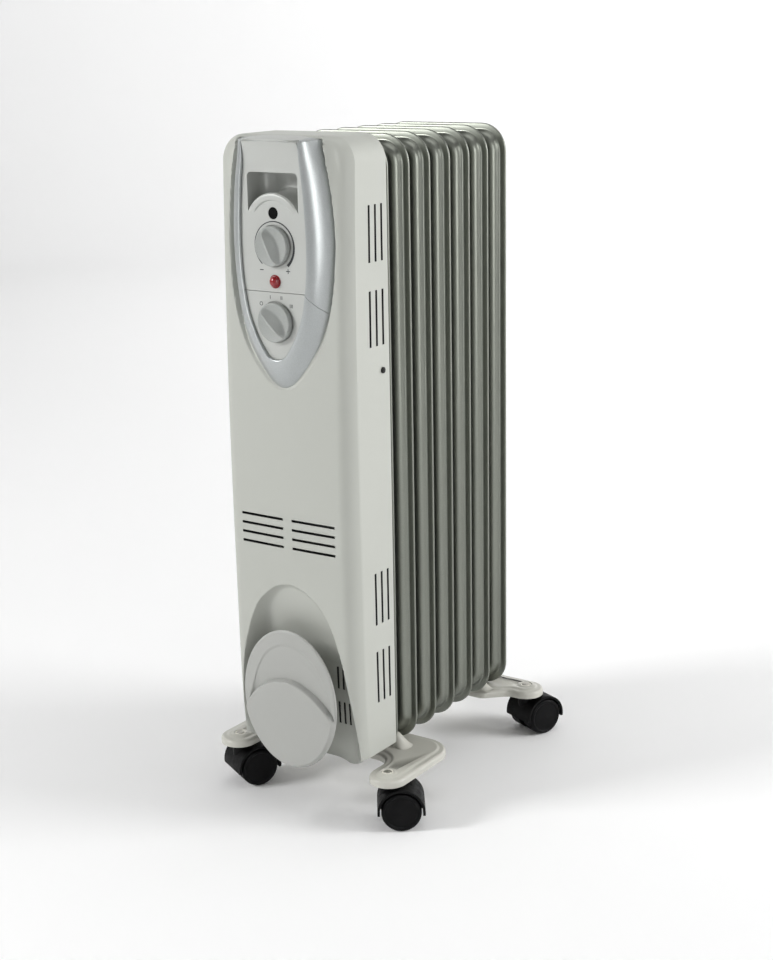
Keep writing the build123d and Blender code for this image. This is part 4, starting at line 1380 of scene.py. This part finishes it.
@dataclass
class Knob:
    """Round knob: flat rim, two scooped dishes and a lens-shaped grip ridge."""

    datum: Datum
    paints: Paintbox
    node: str
    body: str
    z: float
    turn: float
    radius: float = 17.6
    skirt_y: float = -73.0
    rim_y: float = -78.0
    ridge: float = 6.5
    swell: float = 4.7
    scoop: float = 1.7
    rim: float = 1.3

    def lift(self, along: float, across: float) -> float:
        """Height of the face over the rim plane.

        Args:
            along: Place along the pointer.
            across: Place across it.

        Returns:
            Height in millimetres.
        """
        reach = self.radius - 1.0
        radius = math.hypot(along, across)
        edge = max(0.0, (radius - (self.radius - self.rim)) / self.rim)
        round_off = self.rim * (1 - math.sqrt(max(0.0, 1 - min(edge, 1.0) ** 2)))
        half = self.swell * (1 - (along / reach) ** 2) if abs(along) < reach else 0.0
        beside = (abs(across) - half) / 3.4
        bowl = max(0.0, 1 - (radius / (self.radius - self.rim)) ** 2) ** 0.8
        dish = -self.scoop * bowl * ease(beside)
        if half <= 0:
            return dish - round_off
        flank = max(0.0, 1 - max(0.0, abs(across) - 0.5) / (half + 1.6))
        end = max(0.0, 1 - (abs(along) / reach) ** 6)
        return dish * (1 - flank) + self.ridge * flank ** 1.25 * end - round_off

    def build(self) -> None:
        """Make the knob and stand it for the CAD one."""
        turn = math.radians(self.turn)
        rings = list(np.linspace(0.0, self.radius - self.rim, 34)) + \
            list(self.radius - self.rim * (1 - np.sin(np.linspace(0.2, math.pi / 2, 7))))
        steps = 144
        rows = []
        for r in rings:
            row = []
            for j in range(steps):
                a = 2 * math.pi * j / steps
                along, across = r * math.cos(a), r * math.sin(a)
                x = along * math.sin(turn) + across * math.cos(turn)
                z = along * math.cos(turn) - across * math.sin(turn)
                row.append((x, self.rim_y - self.lift(along, across) + self.datum.fin_y, self.z + z))
            rows.append(row)
        rows.append([(x, self.skirt_y + self.datum.fin_y, z) for x, _, z in rows[-1]])
        piece = capped_piece(self.node + "_moulding", np.array(rows), 42)
        self.paints.dress(piece, KNOB)
        stand_in(piece, self.body, self.node)


# ---------------------------------------------------------------- cord-wrap cover

@dataclass
class CordCover:
    """Oval cover: domed dish, sunk crescent and a raised lower lobe."""

    datum: Datum
    paints: Paintbox
    centre_z: float = 116.5
    half_width: float = 53.5
    half_height: float = 68.0
    rim_y: float = -73.2
    back_y: float = -71.2
    dome: float = 2.6
    valley: float = 2.6
    lobe: float = 2.2
    # outer edge of the crescent and crest of the lobe, height by x
    crescent: tuple[Point, ...] = ((-56.0, 60.0), (-50.0, 96.0), (-42.0, 124.0), (-34.0, 146.0),
                                   (-25.0, 160.0), (-14.0, 168.0), (-3.0, 171.0), (8.0, 170.5),
                                   (18.0, 167.0), (27.0, 160.5), (34.0, 152.0), (42.0, 136.0),
                                   (48.0, 118.0), (56.0, 84.0))
    crest: tuple[Point, ...] = ((-56.0, 84.0), (-48.0, 106.0), (-38.0, 120.0), (-26.0, 129.0), (-14.0, 134.2),
                                (-2.0, 136.5), (8.0, 136.0), (18.0, 132.8), (28.0, 127.5), (38.0, 120.0),
                                (47.0, 110.5), (56.0, 98.0))

    def heights(self, table: Sequence[Point], x: np.ndarray) -> np.ndarray:
        """Read a curve's height at x."""
        curve = smooth_curve(table, 12)
        return np.interp(x, curve[:, 0], curve[:, 1])

    def build(self) -> None:
        """Make the cover and stand it for the CAD one."""
        rings = np.concatenate([np.linspace(0.0, 0.965, 66), [0.972, 0.979, 0.986, 0.992, 0.996, 1.0]])
        steps = 288
        angle = 2 * math.pi * np.arange(steps) / steps
        x = rings[:, None] * self.half_width * np.cos(angle)[None, :]
        z = self.centre_z + rings[:, None] * self.half_height * np.sin(angle)[None, :]
        share = rings[:, None] * np.ones_like(x)
        lift = self.dome * (1 - share ** 2.4)
        edge_1 = self.heights(self.crescent, x)
        edge_2 = self.heights(self.crest, x)
        between = np.clip((edge_1 - z) / np.maximum(edge_1 - edge_2, 0.5), 0, 1)
        sink = self.valley * between ** 0.8
        step = np.clip((edge_1 - z) / 2.4, 0, 1)
        sink = np.maximum(sink, 1.1 * step * step * (3 - 2 * step))
        raised = np.clip((edge_2 - z) / 1.9, 0, 1)
        round_edge = np.sqrt(np.clip(1 - (1 - raised) ** 2, 0, 1))
        fade = np.clip((1 - share) / 0.05, 0, 1)
        lobe = self.lobe + 1.2 * np.clip(1 - (edge_2 - z) / 60.0, 0, 1)
        relief = np.where(z < edge_2, lobe * round_edge - sink * (1 - round_edge), -sink)
        lift = lift + relief * fade
        bead = 1.1 * np.clip((share - 0.965) / 0.035, 0, 1)
        lift = lift - bead ** 2 * 0.8
        y = self.rim_y - lift + self.datum.fin_y
        back = np.full((1, steps), self.back_y + self.datum.fin_y)
        grid = np.stack([np.vstack([x, x[-1:]]), np.vstack([y, back]), np.vstack([z, z[-1:]])], axis=2)
        piece = capped_piece("cover_moulding", grid, 42)
        self.paints.dress(piece, Surface.COVER.finish)
        stand_in(piece, "heater", "cord_cover")


# ---------------------------------------------------------------- feet

@dataclass
class FootBracket:
    """Pressed foot bracket: rolled edge, raised field and a rib between two fins."""

    datum: Datum
    paints: Paintbox
    node: str
    outline: Sequence[Point]
    rib_y: float
    stems: Sequence[Point]
    top: float = 52.0
    foot: float = 43.5
    edge_radius: float = 3.2
    sheet: float = 1.6
    field_inset: float = 7.0
    field_drop: float = 1.3
    rib_half: float = 58.0
    rib_ramp: float = 19.0
    rib_flare: float = 0.9
    rib_top: float = 66.0
    rib_width: float = 14.0
    stem_hole: float = 5.8

    def ring(self, inset: float) -> np.ndarray:
        """The outline moved inwards."""
        points = np.array(self.outline, float)
        along = np.roll(points, -1, axis=0) - np.roll(points, 1, axis=0)
        along /= np.maximum(np.linalg.norm(along, axis=1), 1e-9)[:, None]
        return points + np.column_stack([-along[:, 1], along[:, 0]]) * inset

    def profile(self) -> list[Point]:
        """Inset and height from the inside of the lip, over the top, to the field."""
        low = self.top - self.field_drop
        radius = self.edge_radius
        wall = self.sheet
        found = [(wall + 1.2, low - wall), (wall, low - wall), (wall, self.foot), (0.0, self.foot),
                 (0.0, low - radius)]
        found += [(radius * (1 - math.cos(a)), low - radius * (1 - math.sin(a)))
                  for a in np.linspace(0.2, math.pi / 2, 7)]
        for share in np.linspace(0, 1, 7):
            found.append((self.field_inset - 1.8 + 3.6 * share, low + self.field_drop * ease(share)))
        found.append((self.field_inset + 2.6, self.top))
        return found

    def filled(self, ring: np.ndarray, height: float) -> Object:
        """Flat face inside a ring, with a hole at each caster stem.

        Args:
            ring: Corners of its edge.
            height: Its Z.

        Returns:
            The triangulated face.
        """
        loops = [ring.tolist()] + [arc(self.stem_place(stem), self.stem_hole, 0, 360 - 360 / 40, 39)
                                   for stem in self.stems]
        points, edges = [], []
        for loop in loops:
            first = len(points)
            points += [Vector(point) for point in loop]
            edges += [(first + i, first + (i + 1) % len(loop)) for i in range(len(loop))]
        places, _, triangles, *_ = delaunay_2d_cdt(points, edges, [], 0, 1e-5)
        flat = np.array([tuple(place) for place in places])
        middles = np.array([flat[list(triangle)].mean(axis=0) for triangle in triangles])
        keep = inside_distance(middles[:, 0], middles[:, 1], ring) > 0
        for stem in self.stems:
            keep &= np.hypot(*(middles - np.array(self.stem_place(stem))).T) > self.stem_hole * 0.99
        corners = np.column_stack([flat, np.full(len(flat), height)])
        return new_piece("plate_face", corners, [t for t, kept in zip(triangles, keep) if kept])

    def stem_place(self, stem: Point) -> Point:
        """Row-frame place of a caster stem."""
        return (stem[0], self.datum.depth(stem[1]))

    def plate(self) -> Object:
        """The pressed plate: rolled edge, top, underside and hole walls."""
        profile = self.profile()
        rows = [np.column_stack([self.ring(inset), np.full(len(self.outline), height)])
                for inset, height in profile]
        pieces = [sheet_piece("plate_edge", np.array(rows), wrap_columns=True)]
        for inset, height in (profile[0], profile[-1]):
            pieces.append(self.filled(self.ring(inset), height))
        for stem in self.stems:
            walls = [(self.stem_hole, profile[0][1] - self.top), (self.stem_hole, 0.0)]
            pieces.append(lathe("hole_wall", walls, (*self.stem_place(stem), self.top), UPWARDS, 40))
        plate = join(pieces, "bracket_plate")
        settle(plate, 50, 0.01)
        return plate

    def rib(self) -> Object:
        """Raised rib that stands in the gap between two fins."""
        shares = np.linspace(0, 1, 17)
        right = [(self.rib_half + self.rib_ramp * s, ease(1 - s)) for s in shares]
        spine = [(-x, lift) for x, lift in reversed(right)] + right
        rows = []
        for x, lift in spine:
            height = self.top - 0.4 + (self.rib_top - self.top) * lift
            half = self.rib_width / 2 * (1 + self.rib_flare * (1 - lift))
            row = []
            for side in np.linspace(-1, 1, 25):
                bell = math.cos(math.pi / 2 * side) ** (0.35 + 1.1 * (1 - lift))
                row.append((x, self.datum.fin_y + self.rib_y + side * half,
                            self.top - 1.2 + (height - self.top + 1.2) * bell))
            rows.append(row)
        return sheet_piece("bracket_rib", np.array(rows), crease=70)

    def collar(self, stem: Point) -> Object:
        """Turned-up edge of a caster hole."""
        profile = [(9.6, -0.2), (8.8, 0.1), (7.6, 0.6), (6.6, 0.8), (6.0, 0.6), (5.8, 0.0)]
        return lathe("hole_edge", profile, (*self.stem_place(stem), self.top), UPWARDS, 40, 60)

    def build(self) -> None:
        """Make the bracket and stand it for the CAD one."""
        whole = join([self.plate(), self.rib()] + [self.collar(stem) for stem in self.stems],
                     self.node + "_pressing")
        self.paints.dress(whole, Surface.BRACKET.finish)
        stand_in(whole, "heater", self.node)


def rounded(corners: Sequence[tuple[float, float, float]], steps: int = 9) -> list[Point]:
    """Closed outline with rounded corners.

    Args:
        corners: X, Y and radius of each corner, counter-clockwise from above.
        steps: Segments in each rounding.

    Returns:
        Points of the outline, counter-clockwise.
    """
    found = []
    count = len(corners)
    for i, (x, y, radius) in enumerate(corners):
        here = Vector((x, y))
        before = (Vector(corners[i - 1][:2]) - here).normalized()
        after = (Vector(corners[(i + 1) % count][:2]) - here).normalized()
        half_angle = before.angle(after) / 2
        reach = radius / math.tan(half_angle)
        start, end = here + before * reach, here + after * reach
        centre = here + (before + after).normalized() * (radius / math.sin(half_angle))
        first = math.atan2(start.y - centre.y, start.x - centre.x)
        turn = math.atan2(end.y - centre.y, end.x - centre.x) - first
        turn = (turn + math.pi) % (2 * math.pi) - math.pi
        found += [(centre.x + radius * math.cos(first + turn * k / steps),
                   centre.y + radius * math.sin(first + turn * k / steps)) for k in range(steps + 1)]
    return found


@dataclass
class Feet:
    """Both foot brackets."""

    datum: Datum
    paints: Paintbox
    arm_outer: float = 107.0
    arm_inner: float = 71.0
    arm_tip_y: float = -59.0
    bar_front_y: float = -8.0
    bar_back_y: float = 50.0
    tip_radius: float = 17.6
    bar_radius: float = 28.0
    notch_radius: float = 18.0
    rear_half: float = 107.0
    rear_y: Point = (198.0, 234.0)
    tongue_half: Point = (58.0, 79.0)
    tongue_radius: Point = (10.0, 14.0)
    tongue_y: float = 177.5
    stem_x: float = 88.0
    # depths of the caster stems and of the ribs, front and rear
    stem_y: Point = (-41.0, 218.0)
    rib_y: Point = (17.0, 187.0)

    def front(self) -> list[Point]:
        """Plan of the front bracket, a U open to the front."""
        out, inner = self.arm_outer, self.arm_inner
        tip, back, front = (self.datum.depth(y) for y in (self.arm_tip_y, self.bar_back_y, self.bar_front_y))
        end, bar, notch = self.tip_radius, self.bar_radius, self.notch_radius
        return rounded([(out, tip, end), (out, back, bar), (-out, back, bar), (-out, tip, end),
                        (-inner, tip, end), (-inner, front, notch), (inner, front, notch), (inner, tip, end)])

    def rear(self) -> list[Point]:
        """Plan of the rear bracket: a bar with round ends and a broad tongue."""
        half, end = self.rear_half, self.tip_radius
        near, far, tip = (self.datum.depth(y) for y in (*self.rear_y, self.tongue_y))
        narrow, wide = self.tongue_half
        outer, inner = self.tongue_radius
        return rounded([(half, near, end), (half, far, end), (-half, far, end), (-half, near, end),
                        (-wide, near, inner), (-narrow, tip, outer), (narrow, tip, outer),
                        (wide, near, inner)])

    def build(self) -> None:
        """Make both brackets."""
        front_stems, rear_stems = ([(self.stem_x, y), (-self.stem_x, y)] for y in self.stem_y)
        FootBracket(self.datum, self.paints, "front_bracket", self.front(), self.rib_y[0],
                    front_stems).build()
        FootBracket(self.datum, self.paints, "rear_bracket", self.rear(), self.rib_y[1], rear_stems,
                    rib_half=47.0, rib_ramp=18.0, rib_flare=0.15).build()


# ---------------------------------------------------------------- studio

@dataclass
class Studio:
    """Pale floor, soft light and the camera, whose place is in millimetres and whose angles are degrees."""

    position: tuple[float, float, float] = (926.8, -1342.14, 723.0)
    azimuth: float = 34.471
    pitch: float = 14.776
    roll: float = -1.079
    lens: float = 64.28
    # radius of the flat floor, radius of its bend and height of the backdrop, in metres
    floor_radius: float = 4.0
    floor_bend: float = 1.5
    floor_height: float = 5.0
    surroundings: float = 0.14

    def camera(self) -> None:
        """Camera at the viewing angle."""
        az, tilt, roll = (math.radians(v) for v in (self.azimuth, self.pitch, self.roll))
        ahead = Vector((-math.sin(az) * math.cos(tilt), math.cos(az) * math.cos(tilt), -math.sin(tilt)))
        right = Vector((math.cos(az), math.sin(az), 0.0))
        up = right.cross(ahead)
        turned_right = math.cos(roll) * right + math.sin(roll) * up
        turned_up = -math.sin(roll) * right + math.cos(roll) * up
        data = bpy.data.cameras.new("camera")
        data.lens = self.lens
        data.sensor_width = 36.0
        data.sensor_fit = "AUTO"
        data.clip_start = 0.05
        data.clip_end = 60.0
        camera = bpy.data.objects.new("camera", data)
        bpy.context.scene.collection.objects.link(camera)
        place = Matrix((turned_right, turned_up, -ahead)).transposed().to_4x4()
        place.translation = Vector(self.position) * MM
        camera.matrix_world = place
        bpy.context.scene.camera = camera

    def sweep(self) -> Object:
        """Floor that curves up into a backdrop all round."""
        radius, bend = self.floor_radius, self.floor_bend
        rings = [(0.0001, 0.0), (radius, 0.0)]
        rings += [(radius + bend * math.sin(a), bend * (1 - math.cos(a)))
                  for a in np.linspace(0.1, math.pi / 2, 12)]
        rings += [(radius + bend, self.floor_height)]
        turns = [2 * math.pi * j / 72 for j in range(72)]
        grid = np.array([[(r * math.cos(a), r * math.sin(a), h) for a in turns] for r, h in rings]) / MM
        floor = sheet_piece("floor", grid, wrap_columns=True, crease=60)
        finish = Finish("matt_white_paper", "FFFFFF", "FCFCFC", 0.9, grain_mm=3.0, grain_depth_mm=0.02,
                        wave_depth_mm=0.0, mottle_mm=700)
        floor.data.materials.append(finish.build())
        return floor

    def lamp(self, name: str, place: Sequence[float], size: Point, power: float,
             aim: Sequence[float] = (0.0, 0.0, 0.32)) -> Object:
        """One soft rectangular light.

        Args:
            name: The lamp's name.
            place: Where it is, in metres.
            size: Its width and height in metres.
            power: Its watts.
            aim: The point that it faces, the middle of the heater at first.

        Returns:
            The lamp.
        """
        data = bpy.data.lights.new(name, "AREA")
        data.shape = "RECTANGLE"
        data.size, data.size_y = size
        data.energy = power
        lamp = bpy.data.objects.new(name, data)
        bpy.context.scene.collection.objects.link(lamp)
        lamp.location = place
        lamp.rotation_euler = (Vector(aim) - Vector(place)).to_track_quat("-Z", "Y").to_euler()
        return lamp

    def light(self) -> None:
        """Key from the right, front light from the left, a weak top light, a strip and a lit backdrop."""
        scene = bpy.context.scene
        world = bpy.data.worlds.new("surroundings")
        scene.world = world
        world.use_nodes = True
        sky = world.node_tree.nodes["Background"]
        sky.inputs["Color"].default_value = (1.0, 1.0, 1.0, 1.0)
        sky.inputs["Strength"].default_value = self.surroundings
        self.lamp("key", (2.5, 1.2, 1.4), (1.2, 2.0), 54.0)
        self.lamp("front", (-1.9, -2.3, 1.8), (0.9, 0.9), 60.0)
        self.lamp("top", (0.3, 0.1, 2.8), (1.8, 1.8), 14.0)
        strip = self.lamp("strip", (2.0, -1.5, 0.9), (0.5, 1.8), 17.0)
        strip.visible_diffuse = False
        self.lamp("backdrop", (0.0, 2.2, 3.0), (3.5, 1.0), 90.0, (0.0, 4.5, 1.2))
        scene.view_settings.view_transform = "Standard"
        scene.view_settings.look = "None"
        scene.view_settings.exposure = 0.0

    def build(self) -> None:
        """Set up everything round the heater."""
        self.camera()
        self.sweep()
        self.light()


def main() -> None:
    """Build the heater's looks in order."""
    logging.basicConfig(level=logging.INFO, format="%(name)s: %(message)s")
    datum = Datum.read()
    paints = Paintbox()
    pod = PodShape()
    paints.dress_frame()
    FinStack(datum, paints).build()
    Housing(datum, paints, pod).build()
    controls = ControlPod(datum, paints, pod)
    controls.build()
    Knob(datum, paints, "thermostat_knob", "thermostat_control", controls.thermostat_z, -26.0).build()
    Knob(datum, paints, "selector_knob", "selector_control", controls.selector_z, -46.0).build()
    CordCover(datum, paints).build()
    Feet(datum, paints).build()
    Studio().build()
    LOG.info("built")


if __name__ == "__main__":
    main()
